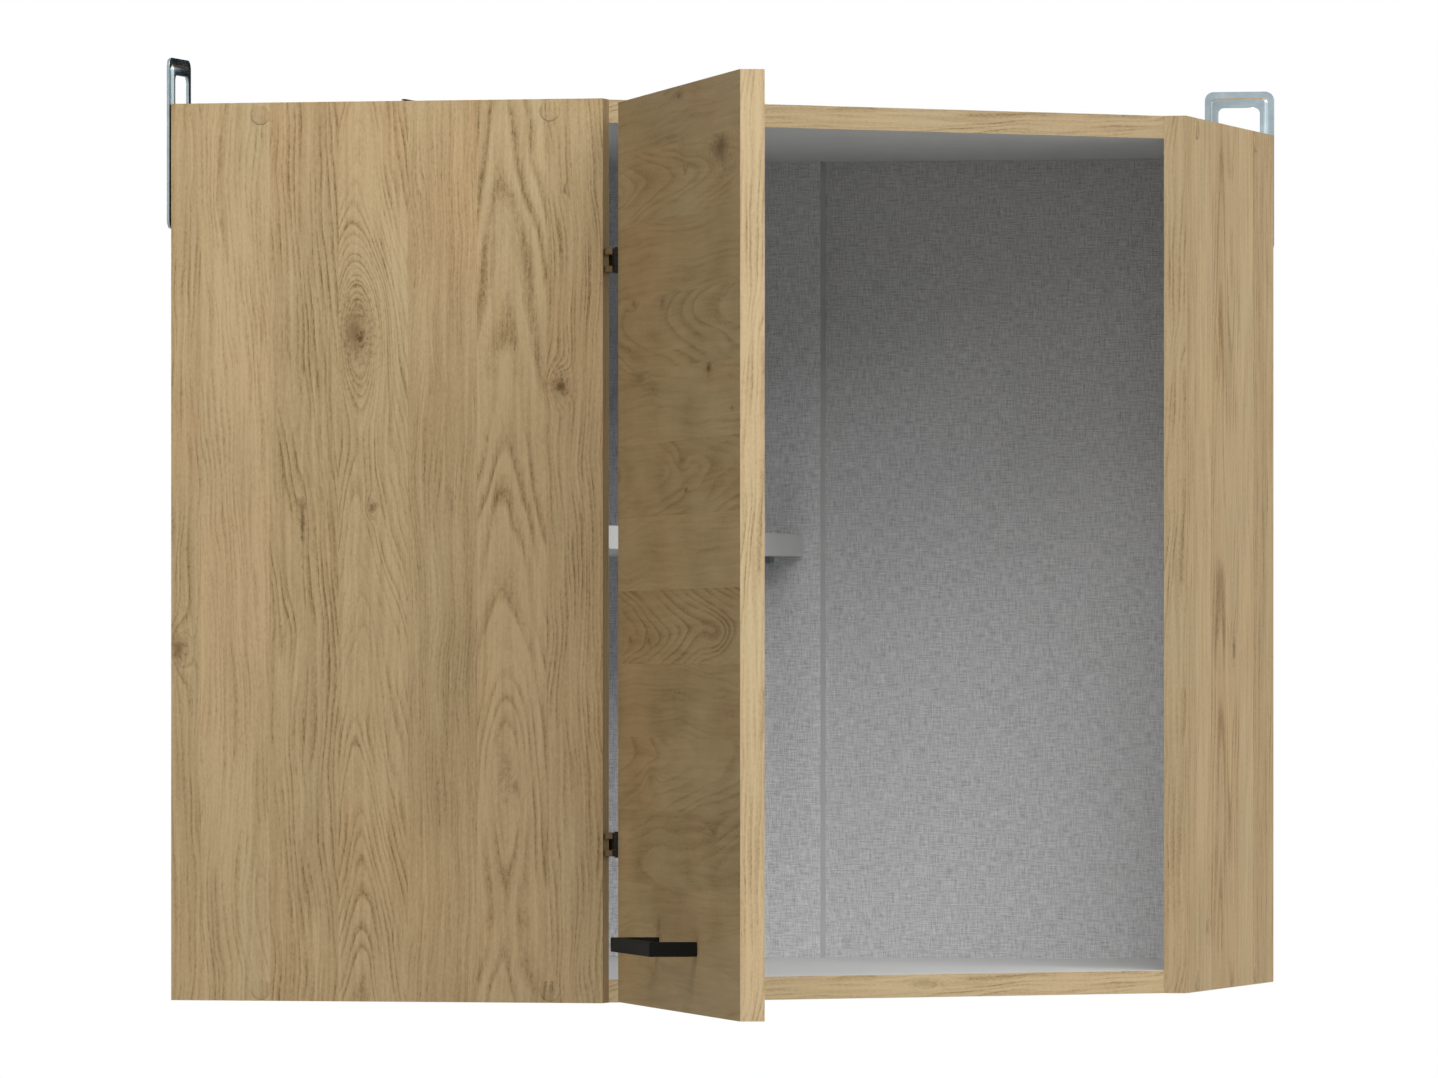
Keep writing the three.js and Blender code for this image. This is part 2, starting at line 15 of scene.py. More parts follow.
import bmesh
import bpy
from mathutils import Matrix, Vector

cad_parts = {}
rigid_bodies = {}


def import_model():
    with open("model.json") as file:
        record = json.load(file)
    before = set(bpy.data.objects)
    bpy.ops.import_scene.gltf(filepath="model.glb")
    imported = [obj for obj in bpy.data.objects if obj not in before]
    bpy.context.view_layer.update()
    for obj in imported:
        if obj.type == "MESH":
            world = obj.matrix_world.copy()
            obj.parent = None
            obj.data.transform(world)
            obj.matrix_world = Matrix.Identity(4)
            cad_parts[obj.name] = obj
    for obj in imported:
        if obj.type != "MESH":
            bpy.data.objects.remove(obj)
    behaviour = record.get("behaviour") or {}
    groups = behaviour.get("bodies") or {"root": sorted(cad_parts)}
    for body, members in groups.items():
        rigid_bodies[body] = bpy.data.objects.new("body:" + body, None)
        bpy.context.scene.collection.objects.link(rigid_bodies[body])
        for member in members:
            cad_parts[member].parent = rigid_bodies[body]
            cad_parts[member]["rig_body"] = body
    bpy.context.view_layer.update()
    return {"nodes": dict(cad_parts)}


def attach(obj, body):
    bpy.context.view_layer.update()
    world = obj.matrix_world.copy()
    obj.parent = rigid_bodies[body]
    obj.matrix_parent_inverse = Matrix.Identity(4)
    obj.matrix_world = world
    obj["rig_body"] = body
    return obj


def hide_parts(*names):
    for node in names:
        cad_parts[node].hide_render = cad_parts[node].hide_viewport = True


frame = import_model()
solids = frame["nodes"]
scene = bpy.context.scene

# %% [markdown]
# ## The camera
#
# The cabinet was photographed from far away with a long lens, level and a little to the right, so its upright lines
# stay upright and only the right side shows some depth. A level camera can't look lower by tilting, or the upright
# lines would lean, so the lens is shifted instead, as an architecture photographer does.

# %% Camera
CAMERA_PLACE = (2.1539, -7.6378, 0.2117)
CAMERA_TURN = 14.247  # degrees, to the left of straight ahead
LENS = 286.4
LENS_SHIFT = (-0.00385, 0.09157)

camera = bpy.data.objects.new("camera", bpy.data.cameras.new("camera"))
camera.data.lens = LENS
camera.data.shift_x, camera.data.shift_y = LENS_SHIFT
camera.data.clip_end = 60
camera.location = CAMERA_PLACE
camera.rotation_euler = (math.radians(90), 0, math.radians(CAMERA_TURN))
scene.collection.objects.link(camera)
scene.camera = camera
print("camera", camera.location, "lens", camera.data.lens)

# %% [markdown]
# ## Writing formulas with nodes
#
# A wood figure is a formula, and a formula is hard to read as a pile of Math nodes. A Wire stands for the output of
# a node, and each +, -, *, / or ** on it adds one Math node to the tree. The result is an ordinary node tree, and
# the script still reads like the formula.


# %% Wires: node outputs that can be used in a formula
class Wire:
    def __init__(self, tree, socket):
        self.tree = tree
        self.socket = socket

    def __add__(self, other):
        return calc(self.tree, "ADD", self, other)

    def __radd__(self, other):
        return calc(self.tree, "ADD", other, self)

    def __sub__(self, other):
        return calc(self.tree, "SUBTRACT", self, other)

    def __rsub__(self, other):
        return calc(self.tree, "SUBTRACT", other, self)

    def __mul__(self, other):
        return calc(self.tree, "MULTIPLY", self, other)

    def __rmul__(self, other):
        return calc(self.tree, "MULTIPLY", other, self)

    def __truediv__(self, other):
        return calc(self.tree, "DIVIDE", self, other)

    def __pow__(self, other):
        return calc(self.tree, "POWER", self, other)


def plug(tree, socket, value):
    if isinstance(value, Wire):
        tree.links.new(value.socket, socket)
    else:
        socket.default_value = value


def add(tree, kind, inputs=None, **settings):
    """A new node: settings are its options, inputs the values or wires of its sockets by name or number."""
    node = tree.nodes.new(kind)
    for option, value in settings.items():
        setattr(node, option, value)
    for socket, value in (inputs or {}).items():
        plug(tree, node.inputs[socket], value)
    return node


def calc(tree, operation, *values):
    node = add(tree, "ShaderNodeMath", dict(enumerate(values)), operation=operation)
    return Wire(tree, node.outputs[0])


def dot(tree, place, direction):
    node = add(tree, "ShaderNodeVectorMath", {0: place, 1: direction}, operation="DOT_PRODUCT")
    return Wire(tree, node.outputs["Value"])


def noise(tree, x, y=0.0, z=0.0, detail=1.0, rough=0.5):
    """Soft random values round 0.5; x, y and z are wires or numbers, one unit to a blotch."""
    place = add(tree, "ShaderNodeCombineXYZ", {0: x, 1: y, 2: z})
    inputs = {"Vector": Wire(tree, place.outputs[0]), "Scale": 1.0, "Detail": detail, "Roughness": rough}
    return Wire(tree, add(tree, "ShaderNodeTexNoise", inputs).outputs[0])


def between(tree, value, low, high, to_low=0.0, to_high=1.0):
    """A smooth step: to_low below low, to_high above high."""
    inputs = {"Value": value, "From Min": low, "From Max": high, "To Min": to_low, "To Max": to_high}
    return Wire(tree, add(tree, "ShaderNodeMapRange", inputs, interpolation_type="SMOOTHSTEP").outputs[0])


def ramp(tree, value, stops, interpolation="LINEAR"):
    node = add(tree, "ShaderNodeValToRGB", {0: value})
    node.color_ramp.interpolation = interpolation
    for _ in stops[2:]:
        node.color_ramp.elements.new(0.5)
    for element, (position, color) in zip(node.color_ramp.elements, stops):
        element.position = position
        element.color = color if isinstance(color, tuple) else (color, color, color, 1)
    return Wire(tree, node.outputs[0])


def blend(tree, amount, first, second, mode="MIX"):
    node = add(tree, "ShaderNodeMix", {0: amount}, data_type="RGBA", blend_type=mode)
    plug(tree, node.inputs[6], first)
    plug(tree, node.inputs[7], second)
    return Wire(tree, node.outputs[2])


def shade(code):
    """A colour as seen on the screen, such as 'b39c73', in the linear values that the shaders use."""
    values = [int(code[i : i + 2], 16) / 255 for i in (0, 2, 4)]
    return tuple(v / 12.92 if v <= 0.04045 else ((v + 0.055) / 1.055) ** 2.4 for v in values) + (1.0,)


print("linear oak:", tuple(round(v, 3) for v in shade("b39c73")))


# %% [markdown]
# ## A material and its coordinates
#
# Every finish here starts the same way: a Principled shader, and the place on the object in millimetres. The
# Object coordinates are used because each piece sits at the origin with its place in its mesh, so the pattern is
# fixed to the object and never slides, also when a door turns.


# %% A new finish
def finish(name, rough, metal=0.0, gloss=0.5):
    """A material, its tree, its Principled shader and the object's own place in millimetres."""
    material = bpy.data.materials.new(name)
    material.use_nodes = True
    tree = material.node_tree
    shader = tree.nodes["Principled BSDF"]
    shader.inputs["Roughness"].default_value = rough
    shader.inputs["Metallic"].default_value = metal
    shader.inputs["Specular IOR Level"].default_value = gloss
    place = Wire(tree, add(tree, "ShaderNodeTexCoord").outputs["Object"])
    scaled = add(tree, "ShaderNodeVectorMath", {0: place, 1: (1000, 1000, 1000)}, operation="MULTIPLY")
    return material, tree, shader, Wire(tree, scaled.outputs[0])


def axes(tree, place):
    """The three coordinates of a place, each as a wire."""
    return [dot(tree, place, axis) for axis in ((1, 0, 0), (0, 1, 0), (0, 0, 1))]


def relief(tree, shader, height, depth_mm, strength=1.0):
    """Bumps as deep as depth_mm where the height goes from 0 to 1."""
    inputs = {"Strength": strength, "Distance": depth_mm / 1000, "Height": height}
    bump = add(tree, "ShaderNodeBump", inputs)
    tree.links.new(bump.outputs[0], shader.inputs["Normal"])


# %% [markdown]
# ## Oak in staves
#
# The boards are chipboard with a printed decor: narrow oak staves, 46 mm wide, glued side by side. So the figure is
# not one tree's grain but that of many boards, and it breaks off sharply at each glue line.
#
# Inside a stave the growth rings of a log are cut lengthways. A ring is a circle round the pith, so in the cut its
# colour depends on the distance to the pith: sideways within the stave, and in depth below the surface. A log tapers,
# so its rings are cones, and the distance also grows along the stave: the rings then close into the arches of a
# cathedral figure. Where the pith lies far to one side, they run straight. A knot pushes the rings round itself.
# Pores are short dark dashes that follow the rings.

# %% The oak figure as a formula
STAVE = 46.0  # mm
LANE = 17.3  # how far apart two staves read the noise, so that no two are alike
DRIFT, RIPPLE, BEND, WANDER = 12, 4, 24, 8  # mm that rings stray: with the stave, finely, widely and all together
PORE_SHARE, GRIT_SHARE, FIBRE_SHARE, STREAK_SHARE = 0.3, 0.65, 0.45, 0.75  # of the fine figure
OAK_LIGHT, OAK_BASE, OAK_DARK = shade("c6ae87"), shade("b09771"), shade("7e6642")
KNOT_BROWN = shade("6a5334")
WARMER, GREENER = (1.02, 0.99, 0.97, 1), (0.98, 1.005, 1.0, 1)
RING_SHADE = [(0.0, 1.0), (0.2, 0.6), (0.45, 0.15), (0.8, 0.0), (1.0, 0.9)]


def pick(tree, index, values):
    """The value for a whole number, looked up in a ramp with hard steps."""
    low, high = min(values), max(values)
    span = (high - low) or 1.0
    count = len(values)
    place = (index - calc(tree, "FLOOR", index / count) * count + 0.5) / count
    stops = [(i / count, (value - low) / span) for i, value in enumerate(values)]
    return ramp(tree, place, stops, "CONSTANT") * span + low


def oak_figure(tree, along, across, staves, knots=(), first=0.0, crisp=1.0, patchy=1.0, lively=1.0, middle=288.0):
    """The colour of the decor. Staves are (pith, depth, taper, pitch, tone, bold); knots are
    (stave, across, along, width, length, push, darkness), with across measured from the stave's middle. crisp
    scales the fine lines, patchy the broad clouds and lively how often the rings sway along the stave."""
    index = calc(tree, "FLOOR", (across - first) / STAVE)
    pith, depth, taper, pitch, tone, bold = (pick(tree, index, column) for column in zip(*staves))
    inside = across - first - (index + 0.5) * STAVE
    lane = index * LANE
    # where the rings stray
    drift = (noise(tree, lane, along * 0.005) - 0.5) * DRIFT
    ripple = (noise(tree, across * 0.07, along * (0.02 * lively), lane) - 0.5) * RIPPLE
    bend = (noise(tree, across * 0.025, along * (0.007 * lively), lane, detail=2.0) - 0.5) * BEND
    ragged = between(tree, noise(tree, across * 0.4, along * 0.3, lane, detail=3.0, rough=0.7), 0.35, 0.65, 0.15, 2.4)
    side = inside + drift + ripple + bend - pith
    wander = (noise(tree, lane, along * 0.008, 7.0) - 0.5) * WANDER
    radius = (side**2 + depth**2) ** 0.5 + (along - middle) * taper + wander
    strand = inside + drift + ripple
    # knots push the rings and the strands aside, and have a ragged dark core
    core = 0.0
    for stave, offset, height, width, length, push, darkness in knots:
        apart = (inside - offset) / width
        reach = apart**2 + ((along - height) / length) ** 2
        here = calc(tree, "EXPONENT", reach * -1.0) * calc(tree, "COMPARE", index, stave, 0.5)
        radius = here * push + radius
        strand = here * apart * (abs(push) * -0.5) + strand
        if darkness:
            core = (here ** (ragged * 5.0) * 0.7 + here**1.8 * 0.3) * darkness + core
    # rings, each dark on one side, and fading along the stave
    ring = radius / pitch
    ring = ring + (noise(tree, ring * 0.7, lane, along * 0.004) - 0.5) * 1.6
    line = ramp(tree, calc(tree, "FRACT", ring), RING_SHADE)
    faded = noise(tree, ring * 0.35, along * (0.016 * lively), lane, detail=2.0)
    line = line * between(tree, faded, 0.35, 0.65, 0.15, 1.1)
    # from fine to broad: pores, grit, fibre, streaks and clouds
    pores = noise(tree, strand * 1.15, along * 0.16, lane, detail=2.0, rough=0.6)
    pores = between(tree, pores, 0.5, 0.7) * (line * 0.75 + 0.25)
    grit = noise(tree, strand * 0.75, along * 0.34, lane, detail=3.0, rough=0.8) - 0.5
    fibre = noise(tree, strand * 1.7, along * 0.03, lane, detail=3.0, rough=0.6) - 0.5
    streak = noise(tree, strand * 0.33, along * 0.006, lane, detail=2.0) - 0.5
    cloud = noise(tree, across * 0.03, along * 0.01, lane, detail=2.0) - 0.5
    fine = pores * PORE_SHARE + fibre * FIBRE_SHARE + grit * GRIT_SHARE + streak * STREAK_SHARE
    fine = (fine - 0.05) * crisp
    broad = line * bold * (grit * 0.6 + 0.38) + cloud * patchy * 0.4 + tone
    color = ramp(tree, fine + broad + 0.24, [(0.0, OAK_LIGHT), (0.45, OAK_BASE), (1.0, OAK_DARK)])
    hue = ramp(tree, noise(tree, across * 0.012, along * 0.006, lane), [(0.35, WARMER), (0.65, GREENER)])
    color = blend(tree, 1.0, color, hue, "MULTIPLY")
    if knots:
        color = blend(tree, calc(tree, "MINIMUM", core, 1.0), color, KNOT_BROWN)
    return color


def oak(name, along, across, staves, knots=(), first=0.0, origin=(0, 0, 0), tint=(1, 1, 1), **look):
    """The oak decor with its grain along one direction; origin is the millimetre point both are measured from, and
    look is passed on to the figure."""
    material, tree, shader, place = finish(name, 0.6, gloss=0.06)
    moved = add(tree, "ShaderNodeVectorMath", {0: place, 1: origin}, operation="SUBTRACT")
    spot = Wire(tree, moved.outputs[0])
    length, width = dot(tree, spot, along), dot(tree, spot, across)
    color = oak_figure(tree, length, width, staves, knots, first, **look)
    if tint != (1, 1, 1):
        color = blend(tree, 1.0, color, (*tint, 1), "MULTIPLY")
    plug(tree, shader.inputs["Base Color"], color)
    relief(tree, shader, noise(tree, width * 1.4, length * 0.14, detail=1.0), 0.1, 0.5)
    return material


# %% [markdown]
# ## The decor on each face
#
# The print differs from face to face, so each gets its own list of staves and its own knots. Grain runs upright on
# the sides and level on the door. The left side is the largest face in view: from left to right it has a stave with
# plain grain, one with a strong cathedral round a knot, one fine and straight, and one with wide arches.

# %% Decor of the left side
UP = (0.0, 0.0, 1.0)
LEFT_STAVES = [
    # pith, depth, taper, pitch, tone, bold
    (-24.0, 8.0, 0.0, 4.0, 0.07, 0.9),
    (-64.0, 20.0, 0.03, 3.4, -0.06, 0.8),
    (44.0, 14.0, -0.06, 3.8, 0.09, 1.1),
    (-10.0, 5.0, 0.2, 4.0, -0.04, 1.3),
    (66.0, 10.0, 0.0, 2.6, 0.09, 0.6),
    (-6.0, 11.0, 0.14, 8.5, -0.06, 1.4),
    (-60.0, 12.0, 0.01, 3.0, 0.02, 1.1),
]
LEFT_KNOTS = [
    # stave, across, along, width, length, push, darkness
    (0, 8.0, 226.0, 9.0, 16.0, 14.0, 0.75),
    (3, -10.0, 428.0, 17.0, 44.0, -34.0, 0.0),
    (3, -12.0, 428.0, 18.0, 38.0, -8.0, 0.72),
    (3, -8.0, 424.0, 4.0, 7.0, 0.0, 0.5),
    (3, -1.0, 316.0, 4.0, 7.0, 7.0, 0.75),
    (6, -14.0, 393.0, 9.0, 11.0, 12.0, 0.95),
    (6, -11.0, 518.0, 2.5, 4.0, 3.0, 0.6),
    (2, -1.0, 306.0, 2.5, 26.0, 3.0, 0.9),
    (4, 6.0, 318.0, 2.0, 16.0, 2.0, 0.5),
    (5, -4.0, 150.0, 17.0, 60.0, -24.0, 0.0),
    (5, 2.0, 138.0, 4.0, 9.0, 4.0, 0.4),
]
oak_left = oak("oak_left_side", UP, (1, 0, 0), LEFT_STAVES, LEFT_KNOTS, first=-26.0)
print("left side:", len(LEFT_STAVES), "staves,", len(LEFT_KNOTS), "knots")

# %% Decor of the right side
RIGHT_STAVES = [
    (50.0, 12.0, 0.0, 3.6, 0.04, 1.2),
    (-55.0, 14.0, 0.02, 3.2, -0.1, 1.0),
    (6.0, 18.0, 0.05, 6.5, 0.08, 1.3),
    (-6.0, 14.0, -0.06, 6.0, 0.0, 1.3),
    (44.0, 12.0, 0.03, 3.4, -0.12, 1.0),
    (-30.0, 10.0, 0.04, 3.8, 0.1, 1.2),
    (12.0, 10.0, 0.06, 5.4, 0.0, 1.2),
]
RIGHT_KNOTS = [
    (3, 6.0, 226.0, 8.0, 14.0, 10.0, 0.9),
    (2, -4.0, 416.0, 8.0, 16.0, 10.0, 0.5),
    (6, 4.0, 431.0, 7.0, 13.0, 10.0, 0.8),
    (1, 10.0, 41.0, 8.0, 12.0, 9.0, 0.4),
    (5, -8.0, 330.0, 3.0, 40.0, 3.0, 0.4),
]
# The tint lightens the right side's decor a little: painted light, added to the light of the lamps on the right.
oak_right = oak("oak_right_side", UP, (0, 1, 0), RIGHT_STAVES, RIGHT_KNOTS, first=-299.0, tint=(1.06, 1.06, 1.06))

# %% Decor of the door, in the door's own directions at its open stop
DOOR_TURN = math.radians(-65.0)
DOOR_ALONG = (math.cos(DOOR_TURN), math.sin(DOOR_TURN), 0.0)  # hinge edge to free edge
DOOR_BACK = (-math.sin(DOOR_TURN), math.cos(DOOR_TURN), 0.0)  # outer face to back face
DOOR_CORNER = (298.31, -604.51, 1.0)  # lower outer corner at the hinge edge
DOOR_STAVES = [
    # from the lowest stave up
    (8.0, 8.0, 0.05, 6.0, -0.04, 0.5),
    (50.0, 14.0, 0.02, 5.0, -0.02, 0.45),
    (-14.0, 10.0, -0.07, 8.0, 0.08, 0.6),
    (16.0, 10.0, 0.12, 8.0, -0.04, 0.7),
    (-46.0, 12.0, 0.02, 5.0, 0.08, 0.4),
    (-4.0, 6.0, 0.16, 6.0, 0.02, 1.3),
    (46.0, 14.0, 0.02, 5.5, -0.07, 0.4),
    (4.0, 8.0, 0.09, 6.0, 0.07, 0.8),
    (-40.0, 12.0, 0.01, 6.0, -0.03, 0.5),
    (10.0, 8.0, -0.14, 9.0, -0.02, 0.85),
    (54.0, 12.0, 0.0, 5.0, 0.05, 0.4),
    (0.0, 8.0, 0.12, 6.0, -0.03, 0.7),
    (30.0, 12.0, 0.02, 5.0, 0.0, 0.5),
]
DOOR_KNOTS = [
    (11, 14.0, 350.0, 24.0, 90.0, -14.0, 0.0),
    (11, 14.0, 350.0, 15.0, 42.0, 8.0, 0.9),
    (11, 5.0, 232.0, 4.0, 7.0, 5.0, 0.6),
    (12, 6.0, 212.0, 5.0, 22.0, 6.0, 0.7),
    (9, 20.0, 57.0, 6.0, 20.0, 7.0, 0.5),
    (9, 18.0, 155.0, 8.0, 12.0, 6.0, 0.45),
    (8, 19.0, 310.0, 6.0, 13.0, 6.0, 1.2),
    (8, 19.0, 75.0, 8.0, 32.0, 6.0, 0.45),
    (8, -7.0, 385.0, 2.0, 12.0, 2.0, 0.6),
    (7, -8.0, 235.0, 3.0, 7.0, 4.0, 0.7),
    (7, 9.0, 217.0, 7.0, 30.0, 8.0, 0.35),
    (5, -8.0, 44.0, 4.0, 10.0, 5.0, 0.6),
    (5, -8.0, 107.0, 4.0, 12.0, 5.0, 0.5),
    (5, -8.0, 340.0, 14.0, 50.0, -12.0, 0.0),
    (3, -4.0, 115.0, 9.0, 24.0, 9.0, 0.35),
    (2, 12.0, 330.0, 5.0, 16.0, 5.0, 0.4),
    # This knot's dark core is a painted shadow of the handle on the door.
    (1, -2.0, 142.0, 8.0, 14.0, 8.0, 0.4),
]
door_look = {"origin": DOOR_CORNER, "tint": (1.07, 1.05, 0.98), "crisp": 0.75, "patchy": 2.2, "lively": 0.4}
oak_door = oak("oak_door_front", DOOR_ALONG, UP, DOOR_STAVES, DOOR_KNOTS, first=-15.0, **door_look)
oak_door_back = oak("oak_door_back", DOOR_ALONG, UP, DOOR_STAVES[::-1], DOOR_KNOTS[2:7], first=-30.0, **door_look)
print("door:", len(DOOR_STAVES), "staves,", len(DOOR_KNOTS), "knots")

# %% [markdown]
# ## Edge bands
#
# The edges wear a thin band of the same print, cut along the grain, so it has no staves, only fine long lines. One
# stave wider than the edge, with its pith far away, gives that. Each band was cut from its own part of the print, so
# they differ a little in tone. The band on the left side's front edge is much darker and browner: that is painted
# shade, as the edge lies in the shadow of the open door.

# %% Edge band finishes
BAND_STAVES = [(26.0, 12.0, 0.04, 3.0, -0.1, 1.3)]
BAND_LIGHT = 1.02
BAND_TINT = (0.97, 1.0, 1.05)


def band(name, along, across, origin=(0, 0, 0), knots=(), lighten=BAND_LIGHT, tint=BAND_TINT):
    tint = tuple(lighten * part for part in tint)
    return oak(name, along, across, BAND_STAVES, knots, first=-20.0, origin=origin, tint=tint)


DIAGONAL = (math.sqrt(0.5), math.sqrt(0.5), 0.0)  # along the doorway
# The left side's front edge band is darkened and browned: painted shade of the open door over that edge.
band_left = band("edge_band_left_side_painted_shade", UP, (0, 1, 0), (0, -600, 0), lighten=0.55, tint=(1.0, 0.94, 0.85))
band_right = band("edge_band_right_side", UP, (1, 0, 0), (585, 0, 0), lighten=0.84)
band_bottom = band("edge_band_bottom", DIAGONAL, UP, (287, -585, 0), [(0, 6.0, 236.0, 4.0, 16.0, 8.0, 0.2)])
top_knots = [(0, -14.0, 175.0, 6.0, 30.0, 10.0, 0.5), (0, -12.0, 250.0, 5.0, 20.0, 8.0, 0.4)]
band_top = band("edge_band_top", DIAGONAL, UP, (287, -585, 561), top_knots, lighten=0.84)
band_door_upright = band("edge_band_door_upright", UP, DOOR_BACK, DOOR_CORNER)
band_door_level = band("edge_band_door_level", DOOR_ALONG, DOOR_BACK, DOOR_CORNER)

# %% [markdown]
# ## White board and chipboard
#
# Inside, the boards are coated white with a faint orange-peel skin. Rear edges, rebates and drilled holes are left
# raw, so they show the chipboard core: pressed flakes in a few browns.


# %% White coating
def white_coating():
    material, tree, shader, place = finish("white_coating", 0.55, gloss=0.2)
    x, y, z = axes(tree, place)
    mottle = noise(tree, x * 0.03, y * 0.03, z * 0.03, detail=3.0)
    color = ramp(tree, mottle, [(0.3, shade("d0d1d0")), (0.7, shade("d3d4d3"))])
    plug(tree, shader.inputs["Base Color"], color)
    relief(tree, shader, noise(tree, x * 1.2, y * 1.2, z * 1.2, detail=2.0), 0.02, 0.5)
    return material


white = white_coating()


# %% Chipboard core
def chipboard_core():
    material, tree, shader, place = finish("chipboard_core", 0.9, gloss=0.2)
    flakes = add(tree, "ShaderNodeTexVoronoi", {"Vector": place, "Scale": 0.9, "Randomness": 1.0})
    tint = dot(tree, Wire(tree, flakes.outputs["Color"]), (0.5, 0.3, 0.2))
    color = ramp(tree, tint, [(0.1, shade("8f7048")), (0.5, shade("b5955f")), (0.9, shade("d0b684"))])
    plug(tree, shader.inputs["Base Color"], color)
    relief(tree, shader, Wire(tree, flakes.outputs["Distance"]), 0.25, 0.6)
    return material


chipboard = chipboard_core()

# %% [markdown]
# ## The embossed back
#
# The thin backs are white hardboard, embossed like linen: uneven threads run level and upright, each about a
# millimetre thick and a centimetre long. Two stretched noises, one for each direction, give the threads, and their
# mean is both the height and the tone: high and lighter where threads cross, low and darker in the pits between
# them. That tone is painted shade in the pits and painted light on the crossings. The face of the rear side that looks
# into the room is embossed too. The rear face of the backs is bare brown hardboard.


# %% Linen back and bare hardboard
WEAVE_ACROSS, WEAVE_ALONG = 1.1, 0.1  # blotches in a millimetre across a thread and along it


def linen_back(name, level, lighten):
    """level is the direction of the level threads, and lighten scales the colour of all threads."""
    material, tree, shader, place = finish(name, 0.8, gloss=0.1)
    x, z = dot(tree, place, level), dot(tree, place, UP)
    warp = noise(tree, x * WEAVE_ACROSS, z * WEAVE_ALONG, 3.0, detail=2.0, rough=0.75)
    weft = noise(tree, x * WEAVE_ALONG, z * WEAVE_ACROSS, 9.0, detail=2.0, rough=0.75)
    thread = (warp + weft) * 0.5
    # The tone follows the thread height: painted shade in the pits, painted light where threads cross.
    color = ramp(tree, thread, [(0.38, shade("b0b0b0")), (0.5, shade("cccccc")), (0.62, shade("dedede"))])
    color = blend(tree, 1.0, color, (lighten, lighten, lighten * 1.02, 1), "MULTIPLY")
    plug(tree, shader.inputs["Base Color"], color)
    relief(tree, shader, thread, 2.4, 1.0)
    return material


def bare_hardboard():
    material, tree, shader, place = finish("bare_hardboard", 0.85, gloss=0.2)
    x, y, z = axes(tree, place)
    fibre = noise(tree, x * 0.5, y * 0.5, z * 0.5, detail=6.0, rough=0.7)
    pulp = noise(tree, x * 0.02, y * 0.02, z * 0.012, detail=3.0, rough=0.6)
    browns = [(0.3, shade("7a5b3d")), (0.55, shade("987653")), (0.75, shade("ad8a64"))]
    color = ramp(tree, fibre * 0.5 + pulp * 0.6 - 0.05, browns)
    plug(tree, shader.inputs["Base Color"], color)
    relief(tree, shader, fibre, 0.15, 0.6)
    return material


linen_left = linen_back("linen_left_back", (0, 1, 0), lighten=1.2)
linen_right = linen_back("linen_right_back", (1, 0, 0), lighten=1.2)
linen_side = linen_back("linen_rear_side", (1, 0, 0), lighten=1.3)
hardboard = bare_hardboard()

# %% [markdown]
# ## Metals, powder coat and bumpers
#
# The hangers and screws are zinc plated: bluish, bright, with faint brushing and cloudy passivation. In the creases of
# the hangers the plating carries painted reflections: warmer on the level creases, paler on the upright ones. The
# hinges are black nickel, darker but just as smooth, and their arms are tinted brown, a painted reflection of the oak.
# The handle is powder coated: matte black with a fine pebbled skin.


# %% Plated steel
def plated(name, light, dull, rough):
    material, tree, shader, place = finish(name, rough, metal=1.0)
    x, y, z = axes(tree, place)
    cloud = noise(tree, x * 0.12, y * 0.12, z * 0.12, detail=4.0)
    brushed = noise(tree, x * 3.0, y * 3.0, z * 0.15, detail=2.0)
    plug(tree, shader.inputs["Base Color"], ramp(tree, cloud, [(0.3, shade(dull)), (0.7, shade(light))]))
    plug(tree, shader.inputs["Roughness"], cloud * 0.12 + (rough - 0.06))
    relief(tree, shader, brushed, 0.01, 0.3)
    return material


zinc = plated("zinc_plating", "a2b0b6", "95a3a9", 0.2)
# Painted reflections for the hangers' creases: the warm one on the level creases, the pale one on the upright ones.
crease_painted_warm_reflection = plated("zinc_crease_painted_warm_reflection", "b59b78", "a58c6c", 0.3)
crease_painted_pale_reflection = plated("zinc_crease_painted_pale_reflection", "c9d6d8", "bccacc", 0.25)
black_nickel = plated("black_nickel", "262523", "1d1c1b", 0.3)
# A brown tint on the hinge arms: a painted reflection of the oak.
nickel_painted_oak_reflection = plated("nickel_painted_oak_reflection", "66543b", "544530", 0.4)


# %% Powder coat and bumper
def powder_coat():
    material, tree, shader, place = finish("black_powder_coat", 0.7, gloss=0.05)
    x, y, z = axes(tree, place)
    pebble = noise(tree, x * 2.4, y * 2.4, z * 2.4, detail=2.0)
    plug(tree, shader.inputs["Base Color"], ramp(tree, pebble, [(0.3, shade("151513")), (0.8, shade("1f1f1c"))]))
    relief(tree, shader, pebble, 0.05, 0.5)
    return material


def soft_bumper():
    material, tree, shader, place = finish("soft_bumper", 0.35)
    z = dot(tree, place, UP)
    cloud = noise(tree, z * 0.4, detail=2.0)
    plug(tree, shader.inputs["Base Color"], ramp(tree, cloud, [(0.3, shade("d2d2cc")), (0.7, shade("dededa"))]))
    shader.inputs["Subsurface Weight"].default_value = 0.2
    shader.inputs["Subsurface Radius"].default_value = (0.001, 0.001, 0.001)
    return material


powder = powder_coat()
bumper = soft_bumper()
print("finishes:", len(bpy.data.materials))

# %% [markdown]
# ## Dressing a solid
#
# A solid from the frame is right in shape, but its edges are perfectly sharp and it has one finish all over. Real
# board has a crisp edge that still catches light, and a different finish on each face. So each solid is copied, its
# loose triangles are merged into whole faces, each face gets a finish by where it lies and where it looks, and a
# small bevel softens the edges. The copy then stands for the solid.


# %% A dressed copy
WELD = 2e-6  # m, corners this close are one
FLAT = math.radians(0.4)  # triangles that meet at less are one face
SHARP = math.radians(40)  # edges that turn more than this are softened


